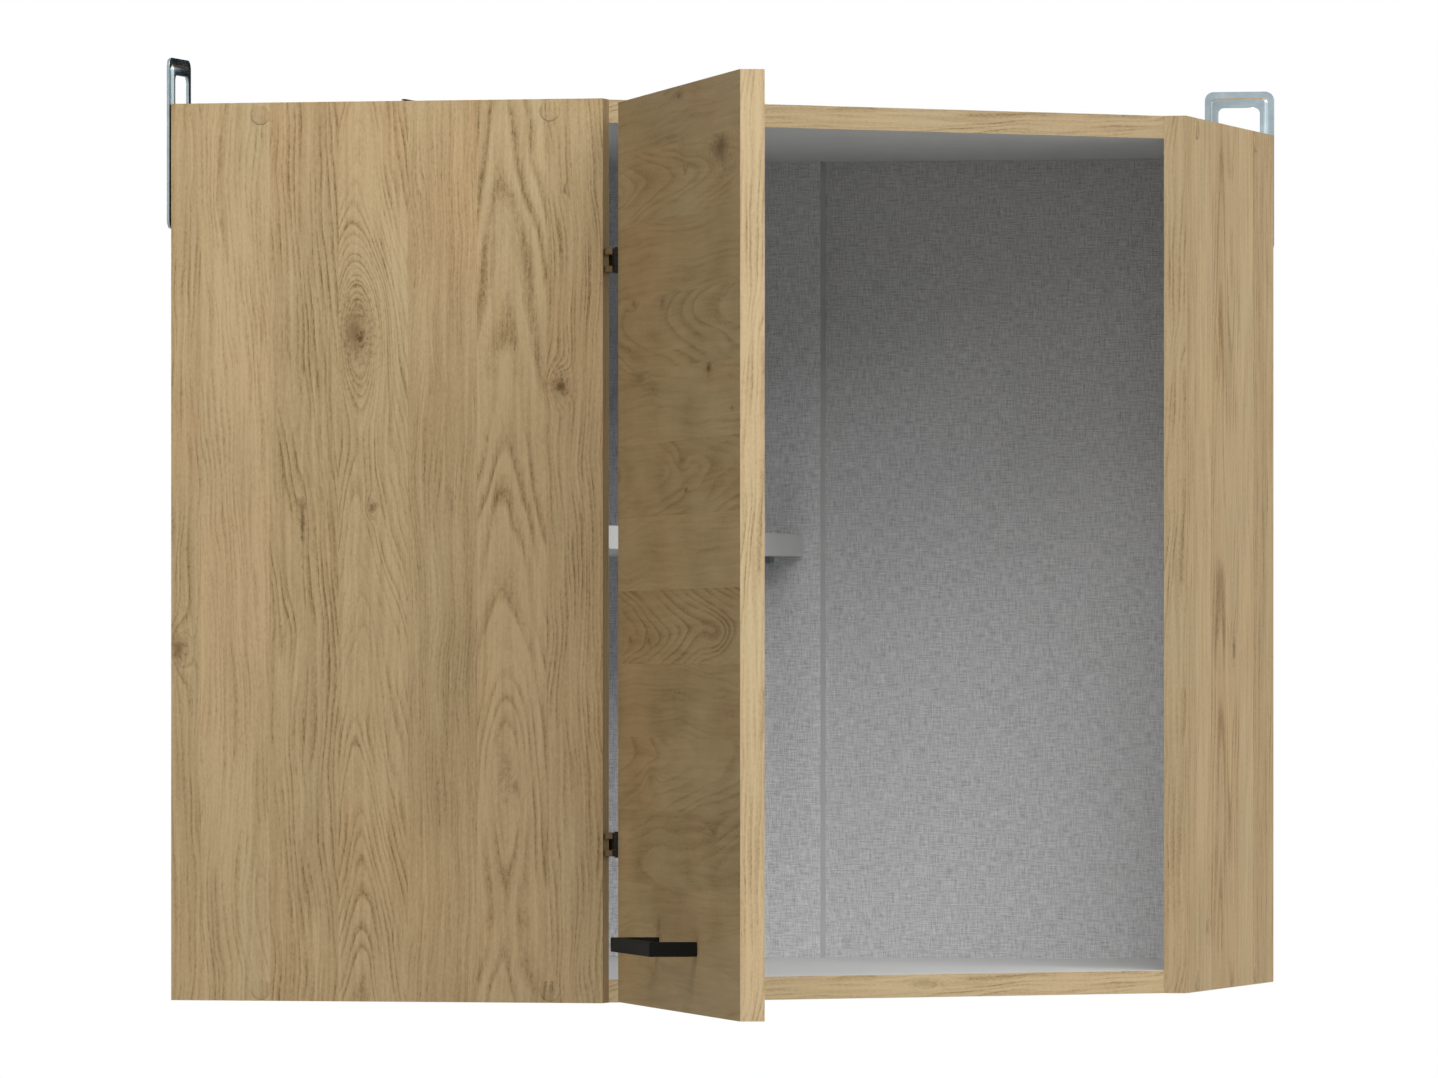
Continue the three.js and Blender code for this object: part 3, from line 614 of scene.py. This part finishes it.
def dressed(name, choose, finishes, soften=0.3, segments=2, smooth=30.0, press=None):
    """choose(middle in mm, normal) gives the number of the finish for a face; soften is the bevel in mm, and press
    may change the mesh first."""
    bm = bmesh.new()
    bm.from_mesh(solids[name].data)
    bmesh.ops.remove_doubles(bm, verts=bm.verts, dist=WELD)
    bmesh.ops.dissolve_limit(bm, angle_limit=FLAT, verts=bm.verts, edges=bm.edges)
    if press:
        press(bm)
    for face in bm.faces:
        face.material_index = choose(face.calc_center_median() * 1000, face.normal)
        face.smooth = True
    mesh = bpy.data.meshes.new(name)
    bm.to_mesh(mesh)
    bm.free()
    for material in finishes:
        mesh.materials.append(material)
    mesh.set_sharp_from_angle(angle=math.radians(smooth))
    piece = bpy.data.objects.new("dressed_" + name, mesh)
    scene.collection.objects.link(piece)
    if soften:
        bevel = piece.modifiers.new("soft_edges", "BEVEL")
        bevel.width = soften / 1000
        bevel.segments = segments
        bevel.limit_method = "ANGLE"
        bevel.angle_limit = SHARP
        bevel.harden_normals = True
    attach(piece, solids[name]["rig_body"])
    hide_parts(name)
    return piece


def faces_along(normal, direction):
    return normal.dot(Vector(direction)) > 0.9


def one_finish(middle, normal):
    return 0


# %% Sides
WALL, SIDE, HEIGHT, BOARD = 600, 287, 576, 15  # mm: along each wall, a side's depth, the sides' height, a board


def at_either_end(middle, normal):
    return abs(normal.z) > 0.9 and (middle.z < 1 or middle.z > HEIGHT - 1)


def left_side_face(middle, normal):
    """0 outer face, 1 edge band, 2 inner face, 3 raw edge, groove or hole."""
    if faces_along(normal, (0, -1, 0)) and middle.y < 1 - WALL:
        return 0
    if faces_along(normal, (1, 0, 0)) and middle.x > SIDE - 1 or at_either_end(middle, normal):
        return 1
    return 2 if faces_along(normal, (0, 1, 0)) and middle.y > BOARD - WALL - 1 else 3


def right_side_face(middle, normal):
    if faces_along(normal, (1, 0, 0)) and middle.x > WALL - 1:
        return 0
    if faces_along(normal, (0, -1, 0)) and middle.y < 1 - SIDE or at_either_end(middle, normal):
        return 1
    return 2 if faces_along(normal, (-1, 0, 0)) and middle.x < WALL - BOARD + 1 else 3


def rear_side_face(middle, normal):
    """0 coated, 1 raw at the wall and in the room's corner, 2 embossed towards the room."""
    if normal.x < -0.9 or middle.y > -4 and normal.y > 0.9:
        return 1
    return 2 if faces_along(normal, (0, -1, 0)) else 0


dressed("left_side_panel", left_side_face, [oak_left, band_left, white, chipboard])
dressed("right_side_panel", right_side_face, [oak_right, band_right, white, chipboard])
dressed("rear_side_panel", rear_side_face, [white, chipboard, linen_side])


# %% Top, bottom and shelf
def plate_face(middle, normal):
    """0 the edge in the doorway, 1 coated, 2 raw."""
    if normal.x > 0.6 and normal.y < -0.6:
        return 0
    return 1 if abs(normal.z) > 0.9 else 2


dressed("top_panel", plate_face, [band_top, white, chipboard])
dressed("bottom_panel", plate_face, [band_bottom, white, chipboard])
dressed("shelf", one_finish, [white])


# %% Backs
def left_back_face(middle, normal):
    return 0 if normal.x > 0.9 else 1


def right_back_face(middle, normal):
    return 0 if normal.y < -0.9 else 1


dressed("left_back_board", left_back_face, [linen_left, hardboard], soften=0.1)
dressed("right_back_board", right_back_face, [linen_right, hardboard], soften=0.1)


# %% Door
DOOR_WIDTH, DOOR_BOTTOM, DOOR_TOP = 412.7, 1, 573  # mm


def door_face(middle, normal):
    """0 outer face, 1 back face, 2 upright edges, 3 level edges, 4 the bores."""
    if faces_along(normal, [-v for v in DOOR_BACK]):
        return 0
    apart = middle - Vector(DOOR_CORNER)
    if faces_along(normal, DOOR_BACK) and apart.dot(Vector(DOOR_BACK)) > BOARD - 0.1:
        return 1
    if abs(normal.z) > 0.9:
        return 3 if middle.z < DOOR_BOTTOM + 1 or middle.z > DOOR_TOP - 1 else 4
    edge = apart.dot(Vector(DOOR_ALONG))
    return 2 if edge < 0.1 or edge > DOOR_WIDTH - 0.1 else 4


door_finishes = [oak_door, oak_door_back, band_door_upright, band_door_level, chipboard]
dressed("door_panel", door_face, door_finishes)
dressed("handle", one_finish, [powder], soften=0.6, segments=3)

# %% [markdown]
# ## Hardware
#
# Pressed and turned steel has rounder edges than board, and its round forms are smooth. The same dressing does for
# it, with a bevel of its own width and smooth shading across shallow angles.
#
# A hanger is pressed from one sheet: its field stands proud of its rim by one step. In the solid the step is upright.
# A press leaves it as a slope, which catches light along the rim, so the upper corners of the step are drawn in.

# %% The pressed hangers
STEP_SLOPE = 0.0011  # m, how far the slope reaches in
FIELD_EDGE = (0.0156, 0.0466)  # m, sideways and up from the middle: the step lies outside, the window inside


def hanger_press(front):
    """front is the direction that the field stands proud in."""

    def draw_in(bm):
        front_way = Vector(front)
        spots = [vert.co for vert in bm.verts]
        middle = sum((Vector(f(co[i] for co in spots) for i in range(3)) for f in (min, max)), Vector()) / 2
        proud = max(co.dot(front_way) for co in spots)
        moves = {}
        for vert in bm.verts:
            apart = vert.co - middle
            flat = apart - front_way * apart.dot(front_way)
            outside = math.hypot(flat.x, flat.y) > FIELD_EDGE[0] or abs(flat.z) > FIELD_EDGE[1]
            if outside and vert.co.dot(front_way) > proud - 1e-6:
                walls = [f.normal for f in vert.link_faces if abs(f.normal.dot(front_way)) < 0.1]
                moves[vert] = sum(walls, Vector()).normalized() * -STEP_SLOPE
        for vert, move in moves.items():
            vert.co += move
        bm.normal_update()
        print("step corners drawn in:", len(moves))

    return draw_in


def hanger_face(front):
    """0 flat, 1 the level creases, 2 the upright creases."""

    def choose(middle, normal):
        if not 0.3 < normal.dot(Vector(front)) < 0.9:
            return 0
        return 1 if abs(normal.z) > 0.4 else 2

    return choose


for place, front in {"left_front": (1, 0, 0), "left_rear": (1, 0, 0), "right": (0, -1, 0)}.items():
    dressed(
        "hanger_" + place,
        hanger_face(front),
        [zinc, crease_painted_warm_reflection, crease_painted_pale_reflection],
        soften=0.25,
        press=hanger_press(front),
    )

# %% Hinges, pins and bumpers
KNUCKLES_FROM = 292.9  # mm from the left wall


def hinge_arm_face(middle, normal):
    """The knuckles at the arm's front end are black; the rest of it is tinted brown, a painted reflection of the oak.
    """
    return 0 if middle.x > KNUCKLES_FROM else 1


for level in ("lower", "upper"):
    for part in ("hinge_plate_", "hinge_cup_", "hinge_wing_"):
        dressed(part + level, one_finish, [black_nickel], soften=0.2)
    dressed("hinge_arm_" + level, hinge_arm_face, [black_nickel, nickel_painted_oak_reflection], soften=0.2)
for place in ("left_rear", "left_front", "right_rear", "right_front"):
    dressed("shelf_pin_" + place, one_finish, [zinc], soften=0.2)
for place in ("bottom", "top"):
    dressed("door_bumper_" + place, one_finish, [bumper], soften=0.4, smooth=50.0)

# %% [markdown]
# ## What repeats: screws, caps and nails
#
# The hangers, hinges and handle are held by the same kind of screw in five sizes: a pan head with a cross recess on a
# threaded shank. They could be modelled one by one, but a Geometry Nodes tree with the sizes as inputs makes one
# screw and sets it on every place. A place is a point with the direction that the head faces. The head is a cylinder
# whose rings are drawn in towards the top, two crossed blocks are cut out of it, and the thread is a thin wire wound
# along a spiral. The adhesive caps over the connecting screws and the nails of the backs are made the same way.
#
# Instances can't be exported, so each tree ends by making them real, and each run of a tree is kept as a plain mesh,
# carried by one body.


# %% A tree with named inputs
def out(node, socket=0):
    return Wire(node.id_data, node.outputs[socket])


def vector(tree, x, y, z):
    return out(add(tree, "ShaderNodeCombineXYZ", {0: x, 1: y, 2: z}))


def new_tree(name, sizes):
    """A Geometry Nodes tree that takes places, named sizes and a finish, and the wires of its inputs."""
    tree = bpy.data.node_groups.new(name, "GeometryNodeTree")
    tree.interface.new_socket("Places", in_out="INPUT", socket_type="NodeSocketGeometry")
    for size in sizes:
        tree.interface.new_socket(size, in_out="INPUT", socket_type="NodeSocketFloat")
    tree.interface.new_socket("Finish", in_out="INPUT", socket_type="NodeSocketMaterial")
    tree.interface.new_socket("Pieces", in_out="OUTPUT", socket_type="NodeSocketGeometry")
    given = add(tree, "NodeGroupInput")
    return tree, {socket.name: Wire(tree, socket) for socket in given.outputs if socket.name}


def set_on_places(tree, given, places, piece):
    """Puts the piece on every place, turned to face away, makes it real and gives it the finish."""
    away = add(tree, "GeometryNodeInputNamedAttribute", {"Name": "away"}, data_type="FLOAT_VECTOR")
    turn = add(tree, "FunctionNodeAlignRotationToVector", {"Vector": out(away)}, axis="Z")
    inputs = {"Points": places, "Instance": piece, "Rotation": out(turn)}
    many = add(tree, "GeometryNodeInstanceOnPoints", inputs)
    real = add(tree, "GeometryNodeRealizeInstances", {"Geometry": out(many)})
    done = add(tree, "GeometryNodeSetMaterial", {"Geometry": out(real), "Material": given["Finish"]})
    plug(tree, add(tree, "NodeGroupOutput").inputs[0], out(done))


def domed_disc(tree, radius, height, sides, crown):
    """A disc on the plane z = 0 whose rim is drawn in towards the top; crown is how much."""
    inputs = {"Vertices": sides, "Side Segments": 6, "Fill Segments": 3, "Radius": radius, "Depth": height}
    disc = add(tree, "GeometryNodeMeshCylinder", inputs)
    spot = add(tree, "ShaderNodeSeparateXYZ", {0: out(add(tree, "GeometryNodeInputPosition"))})
    rise = out(spot, 2) / height + 0.5
    draw_in = (1.0 - rise**3 * crown) ** 0.5
    place = vector(tree, out(spot, 0) * draw_in, out(spot, 1) * draw_in, rise * height)
    return out(add(tree, "GeometryNodeSetPosition", {"Geometry": out(disc), "Position": place}))


def moved_up(tree, piece, distance):
    inputs = {"Geometry": piece, "Translation": vector(tree, 0.0, 0.0, distance)}
    return out(add(tree, "GeometryNodeTransform", inputs))


def joined(tree, *parts):
    node = add(tree, "GeometryNodeJoinGeometry")
    for part in parts:
        tree.links.new(part.socket, node.inputs[0])
    return out(node)


# %% The screw tree
CORE, THREAD_PATH, WIRE = 0.8, 0.82, 0.17  # shares of the shank's radius
THREADED = 0.94  # share of the shank's length


def cross_head_screws():
    tree, given = new_tree(
        "cross_head_screws", ["Head Radius", "Head Height", "Shank Radius", "Shank Length", "Recess Width"]
    )
    radius, height, width = given["Head Radius"], given["Head Height"], given["Recess Width"]
    crossed = add(tree, "GeometryNodeMeshBoolean", operation="DIFFERENCE", solver="FLOAT")
    plug(tree, crossed.inputs["Mesh 1"], domed_disc(tree, radius, height, 32, 0.45))
    for across, along in ((radius * 1.1, width), (width, radius * 1.1)):
        block = add(tree, "GeometryNodeMeshCube", {"Size": vector(tree, across, along, height)})
        tree.links.new(moved_up(tree, out(block), height).socket, crossed.inputs["Mesh 2"])
    length, thin = given["Shank Length"], given["Shank Radius"]
    inputs = {"Vertices": 12, "Radius": thin * CORE, "Depth": length}
    core = moved_up(tree, out(add(tree, "GeometryNodeMeshCylinder", inputs)), length * -0.5)
    inputs = {"Resolution": 12, "Rotations": length / thin * 1.1, "Height": length * -THREADED}
    inputs |= {"Start Radius": thin * THREAD_PATH, "End Radius": thin * THREAD_PATH}
    spiral = add(tree, "GeometryNodeCurveSpiral", inputs)
    wire = add(tree, "GeometryNodeCurvePrimitiveCircle", {"Resolution": 3, "Radius": thin * WIRE})
    inputs = {"Curve": out(spiral), "Profile Curve": out(wire), "Fill Caps": True}
    thread = out(add(tree, "GeometryNodeCurveToMesh", inputs))
    set_on_places(tree, given, given["Places"], joined(tree, out(crossed), core, thread))
    return tree


screw_tree = cross_head_screws()
print("screw tree:", len(screw_tree.nodes), "nodes")


# %% The cap tree and the nail tree
def adhesive_caps():
    tree, given = new_tree("adhesive_caps", ["Radius", "Thickness"])
    set_on_places(tree, given, given["Places"], domed_disc(tree, given["Radius"], given["Thickness"], 48, 0.12))
    return tree


def nails_along():
    """The places are edges here: the nails follow them, one spacing apart."""
    tree, given = new_tree("nails_along", ["Spacing", "Head Radius", "Head Height", "Shank Radius", "Shank Length"])
    path = out(add(tree, "GeometryNodeMeshToCurve", {"Mesh": given["Places"]}))
    spaced = add(tree, "GeometryNodeResampleCurve", {"Curve": path, "Length": given["Spacing"]}, mode="LENGTH")
    head = domed_disc(tree, given["Head Radius"], given["Head Height"], 16, 0.5)
    inputs = {"Vertices": 8, "Radius": given["Shank Radius"], "Depth": given["Shank Length"]}
    shank = moved_up(tree, out(add(tree, "GeometryNodeMeshCylinder", inputs)), given["Shank Length"] * -0.5)
    set_on_places(tree, given, out(spaced), joined(tree, head, shank))
    return tree


cap_tree = adhesive_caps()
nail_tree = nails_along()
print("caps:", len(cap_tree.nodes), "nodes, nails:", len(nail_tree.nodes), "nodes")


# %% Running a tree
def made_by(tree, name, places, sizes, material, edges=()):
    """places are (point, direction that the piece faces) and sizes are by input name, all in metres."""
    points = bpy.data.meshes.new(name + "_places")
    points.from_pydata([tuple(point) for point, _ in places], list(edges), [])
    away = points.attributes.new("away", "FLOAT_VECTOR", "POINT")
    for entry, (_, direction) in zip(away.data, places):
        entry.vector = direction
    holder = bpy.data.objects.new(name + "_places", points)
    scene.collection.objects.link(holder)
    maker = holder.modifiers.new("maker", "NODES")
    maker.node_group = tree
    for socket in tree.interface.items_tree:
        if socket.name in sizes:
            maker[socket.identifier] = sizes[socket.name]
        if socket.name == "Finish":
            maker[socket.identifier] = material
    bpy.context.view_layer.update()
    shown = holder.evaluated_get(bpy.context.evaluated_depsgraph_get())
    mesh = bpy.data.meshes.new_from_object(shown)
    holder.modifiers.remove(maker)
    bpy.data.objects.remove(holder)
    mesh.name = name
    mesh.set_sharp_from_angle(angle=SHARP)
    piece = bpy.data.objects.new(name, mesh)
    scene.collection.objects.link(piece)
    print(name, len(mesh.polygons), "faces")
    return piece


def carried(piece, body, slot, *nodes):
    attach(piece, body)
    if nodes:
        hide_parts(*nodes)


# %% [markdown]
# ## Where the screws sit
#
# A screw's solid already lies in its hole, so its place is read from the solid: on its axis, one head height below
# its highest point.


# %% Screws
def head_seat(name, away, head):
    """The point under the head and the way that it faces, from the screw's solid."""
    corners = sorted({tuple(round(v, 6) for v in vertex.co) for vertex in solids[name].data.vertices})
    middle = sum((Vector(corner) for corner in corners), Vector()) / len(corners)
    highest = max(Vector(corner).dot(Vector(away)) for corner in corners)
    return middle + Vector(away) * (highest - head - middle.dot(Vector(away))), away


def screws(name, nodes, away, sizes, material, body, slot):
    """away is the way that the heads face, or a list with one for each node. sizes are head radius, head height,
    shank radius, shank length and recess width, in mm."""
    labels = ["Head Radius", "Head Height", "Shank Radius", "Shank Length", "Recess Width"]
    metres = {label: size / 1000 for label, size in zip(labels, sizes)}
    facing = away if isinstance(away, list) else [away] * len(nodes)
    places = [head_seat(node, way, metres["Head Height"]) for node, way in zip(nodes, facing)]
    carried(made_by(screw_tree, name, places, metres, material), body, slot, *nodes)


levels, ends = ("lower", "upper"), ("low", "high")
hanger_ways = {"left_front": (-1, 0, 0), "left_rear": (-1, 0, 0), "right": (0, 1, 0)}
hanger_nodes = [f"hanger_{place}_screw_{level}" for place in hanger_ways for level in levels]
hanger_facing = [way for way in hanger_ways.values() for _ in levels]
screws("hanger_screws", hanger_nodes, hanger_facing, (3.2, 1.1, 1.5, 24.0, 0.7), zinc, "cabinet", "zinc_steel")
plate_nodes = [f"hinge_plate_screw_{level}_{end}" for level in levels for end in ends]
screws("hinge_plate_screws", plate_nodes, (0, 1, 0), (4.6, 1.6, 3.0, 12.0, 1.1), black_nickel, "cabinet", "hinge_steel")
arm_nodes = [f"hinge_arm_screw_{level}" for level in levels]
screws("hinge_arm_screws", arm_nodes, (0, 1, 0), (3.5, 1.5, 1.9, 7.0, 1.0), black_nickel, "cabinet", "hinge_steel")
cup_nodes = [f"cup_screw_{level}_{end}" for level in levels for end in ends]
screws("cup_screws", cup_nodes, DOOR_BACK, (3.4, 1.4, 1.5, 10.5, 0.8), black_nickel, "door", "hinge_steel")
handle_nodes = ["handle_screw_inner", "handle_screw_outer"]
screws("handle_screws", handle_nodes, DOOR_BACK, (4.0, 1.4, 1.8, 23.5, 1.0), zinc, "door", "zinc_steel")

# %% [markdown]
# ## Caps and nails
#
# The connecting screws of the two outer sides hide under thin adhesive caps printed with the same oak. They are hard
# to see: only their own grain and a fine rim give them away. The backs are nailed into the rebates from behind.

# %% Caps over the connecting screws
CAP = {"Radius": 0.0067, "Thickness": 0.00045}  # m
CAP_STAVES = [(30.0, 8.0, 0.05, 2.6, -0.08, 1.0), (-30.0, 8.0, 0.0, 3.6, 0.06, 1.0), (0.0, 6.0, 0.1, 3.0, -0.02, 1.0)]
oak_cap = oak("oak_caps", UP, DIAGONAL, CAP_STAVES, tint=(0.9, 0.9, 0.9), crisp=1.3)
cap_places = []
for z in (0.0075, 0.5685):
    for reach in (0.060, 0.252):
        cap_places.append(((reach, -0.6, z), (0, -1, 0)))
        cap_places.append(((0.6, -reach, z), (1, 0, 0)))
carried(made_by(cap_tree, "cover_caps", cap_places, CAP, oak_cap), "cabinet", "oak_board")

# %% Nails of the backs
NAIL = {"Spacing": 0.11, "Head Radius": 0.0014, "Head Height": 0.0003, "Shank Radius": 0.0006, "Shank Length": 0.014}


def nail_rows(name, corners, rows, way):
    places = [(tuple(v / 1000 for v in corner), way) for corner in corners]
    carried(made_by(nail_tree, name, places, NAIL, zinc, rows), "cabinet", "zinc_steel")


left_corners = [(0, -588.5, 40), (0, -588.5, 536), (0, -14.5, 40), (0, -14.5, 536)]
left_corners += [(0, -540, 7.5), (0, -60, 7.5), (0, -540, 568.5), (0, -60, 568.5)]
nail_rows("left_back_nails", left_corners, [(0, 1), (2, 3), (4, 5), (6, 7)], (-1, 0, 0))
right_corners = [(588.5, 0, 40), (588.5, 0, 536), (60, 0, 7.5), (540, 0, 7.5), (60, 0, 568.5), (540, 0, 568.5)]
nail_rows("right_back_nails", right_corners, [(0, 1), (2, 3), (4, 5)], (0, 1, 0))

# %% The solids that keep their shape
for name, solid in solids.items():
    if not solid.hide_render:
        solid.data.materials.clear()
        solid.data.materials.append(black_nickel if name.startswith(("hinge", "cup")) else zinc)

# %% [markdown]
# ## Light
#
# The photograph was lit by one very wide soft light, from the front round to the right and above, with a little light
# coming back from the low front and the left. It falls full on the left side and the free edge of the door, at a
# slant into the cabinet, where the lower back gets most, and hardly at all on the outer face of the open door. A
# wide light is made here from several square soft boxes on one circle round the cabinet. Each is given by its
# direction, because the direction decides which faces it lights, and its share of the light. The one behind lights
# only the rear faces: it stands where the outer face of the open door can't see it.
#
# The white ground is the world as the camera and the shiny pieces see it, and adds no light. A studio is not white
# all round, though: the front left hanger mirrors what stands behind the cabinet, and it was dark. A small black
# panel stands close behind, seen only in reflections.

# %% Soft boxes round the cabinet
MIDDLE = Vector((0.3, -0.45, 0.29))
FAR = 5.0  # metres from the middle
FULL = 247.0  # watts that light a facing surface 5 m away to the colour as written
SOFT_BOXES = {
    # degrees to the right of the front, degrees up, share of the light, size in metres
    "front": (10, 45, 0.446, 2.5),
    "right": (50, 38, 0.606, 3.2),
    "front_right": (25, 30, 0.144, 2.5),
    "low_front": (10, 15, 0.085, 2.5),
    "low_left": (-50, 30, 0.058, 2.5),
    "far_right": (115, 25, 0.25, 2.5),
    "from_below": (-45, -20, 0.025, 1.5),
    "behind": (-164, 10, 0.55, 2.0),
}


def soft_box(name, azimuth, rise, share, size):
    lamp = bpy.data.lights.new(name, "AREA")
    lamp.shape = "SQUARE"
    lamp.size = size
    lamp.energy = FULL * share
    lamp_object = bpy.data.objects.new(name, lamp)
    turn, lift = math.radians(azimuth), math.radians(rise)
    way = Vector((math.cos(lift) * math.sin(turn), -math.cos(lift) * math.cos(turn), math.sin(lift)))
    lamp_object.location = MIDDLE + way * FAR
    lamp_object.rotation_euler = way.to_track_quat("Z", "Y").to_euler()
    scene.collection.objects.link(lamp_object)


for box_name, (azimuth, rise, share, size) in SOFT_BOXES.items():
    soft_box(box_name + "_light", azimuth, rise, share, size)
print("soft boxes:", len(SOFT_BOXES), "shares together:", round(sum(box[2] for box in SOFT_BOXES.values()), 3))


# %% White world
def seen_directly(tree):
    """1 for what the camera sees, also by a mirror or through glass, and 0 for the light that a surface gets."""
    ways = add(tree, "ShaderNodeLightPath")
    seen = calc(tree, "MAXIMUM", out(ways, "Is Camera Ray"), out(ways, "Is Glossy Ray"))
    return calc(tree, "MAXIMUM", seen, out(ways, "Is Transmission Ray"))


def white_world():
    world = bpy.data.worlds.new("white_room")
    world.use_nodes = True
    tree = world.node_tree
    ground = tree.nodes["Background"]
    ground.inputs["Color"].default_value = (1, 1, 1, 1)
    plug(tree, ground.inputs["Strength"], seen_directly(tree))
    scene.world = world


white_world()
scene.view_settings.view_transform = "Standard"


# %% Black panel behind
def backdrop_sheet(name, corners):
    """A flat sheet with four corners, in metres."""
    mesh = bpy.data.meshes.new(name)
    mesh.from_pydata(corners, [], [(0, 1, 2, 3)])
    sheet = bpy.data.objects.new(name, mesh)
    scene.collection.objects.link(sheet)
    return sheet


def black_panel(corners):
    panel = backdrop_sheet("black_panel", corners)
    panel.visible_camera = panel.visible_diffuse = panel.visible_shadow = panel.visible_transmission = False
    material, tree, shader, place = finish("black_velvet", 1.0, gloss=0.0)
    pile = noise(tree, dot(tree, place, (1, 0, 0)), dot(tree, place, UP))
    plug(tree, shader.inputs["Base Color"], ramp(tree, pile, [(0.3, shade("080808")), (0.7, shade("101010"))]))
    panel.data.materials.append(material)


black_panel([(-0.3, 0.3, 0.2), (0.52, 0.3, 0.2), (0.52, 0.3, 1.3), (-0.3, 0.3, 1.3)])

# %% [markdown]
# ## Floor
#
# A wall cabinet hangs about 1.4 m above the floor, so the floor is far below the picture's edge and shows only from
# other sides. It is pale and takes the object's shadow. Farther out it fades to the white of the background, but only
# for what sees it directly: the light that it sends up stays the same. From underneath it lets the view through.


# %% Floor
def pale_floor(size, level, near, far):
    """The floor fades to the white of the background between two distances from the object, in metres."""
    reach = size / 2
    corners = [(-reach, -reach, level), (reach, -reach, level), (reach, reach, level), (-reach, reach, level)]
    floor = backdrop_sheet("floor", corners)
    material, tree, shader, place = finish("pale_floor", 0.9, gloss=0.1)
    shader.inputs["Base Color"].default_value = (0.6, 0.6, 0.6, 1)
    x, y = dot(tree, place, (0.001, 0, 0)), dot(tree, place, (0, 0.001, 0))
    fade = between(tree, (x**2 + y**2) ** 0.5, near, far, 0.5, 1.0) * seen_directly(tree)
    white_glow = out(add(tree, "ShaderNodeEmission", {"Color": (1, 1, 1, 1), "Strength": 1.0}))
    faded = out(add(tree, "ShaderNodeMixShader", {0: fade, 1: out(shader), 2: white_glow}))
    below = Wire(tree, add(tree, "ShaderNodeNewGeometry").outputs["Backfacing"])
    clear = out(add(tree, "ShaderNodeBsdfTransparent"))
    mixed = add(tree, "ShaderNodeMixShader", {0: below, 1: faded, 2: clear})
    tree.links.new(mixed.outputs[0], tree.nodes["Material Output"].inputs[0])
    floor.data.materials.append(material)


pale_floor(size=14.0, level=-1.4, near=1.0, far=6.0)
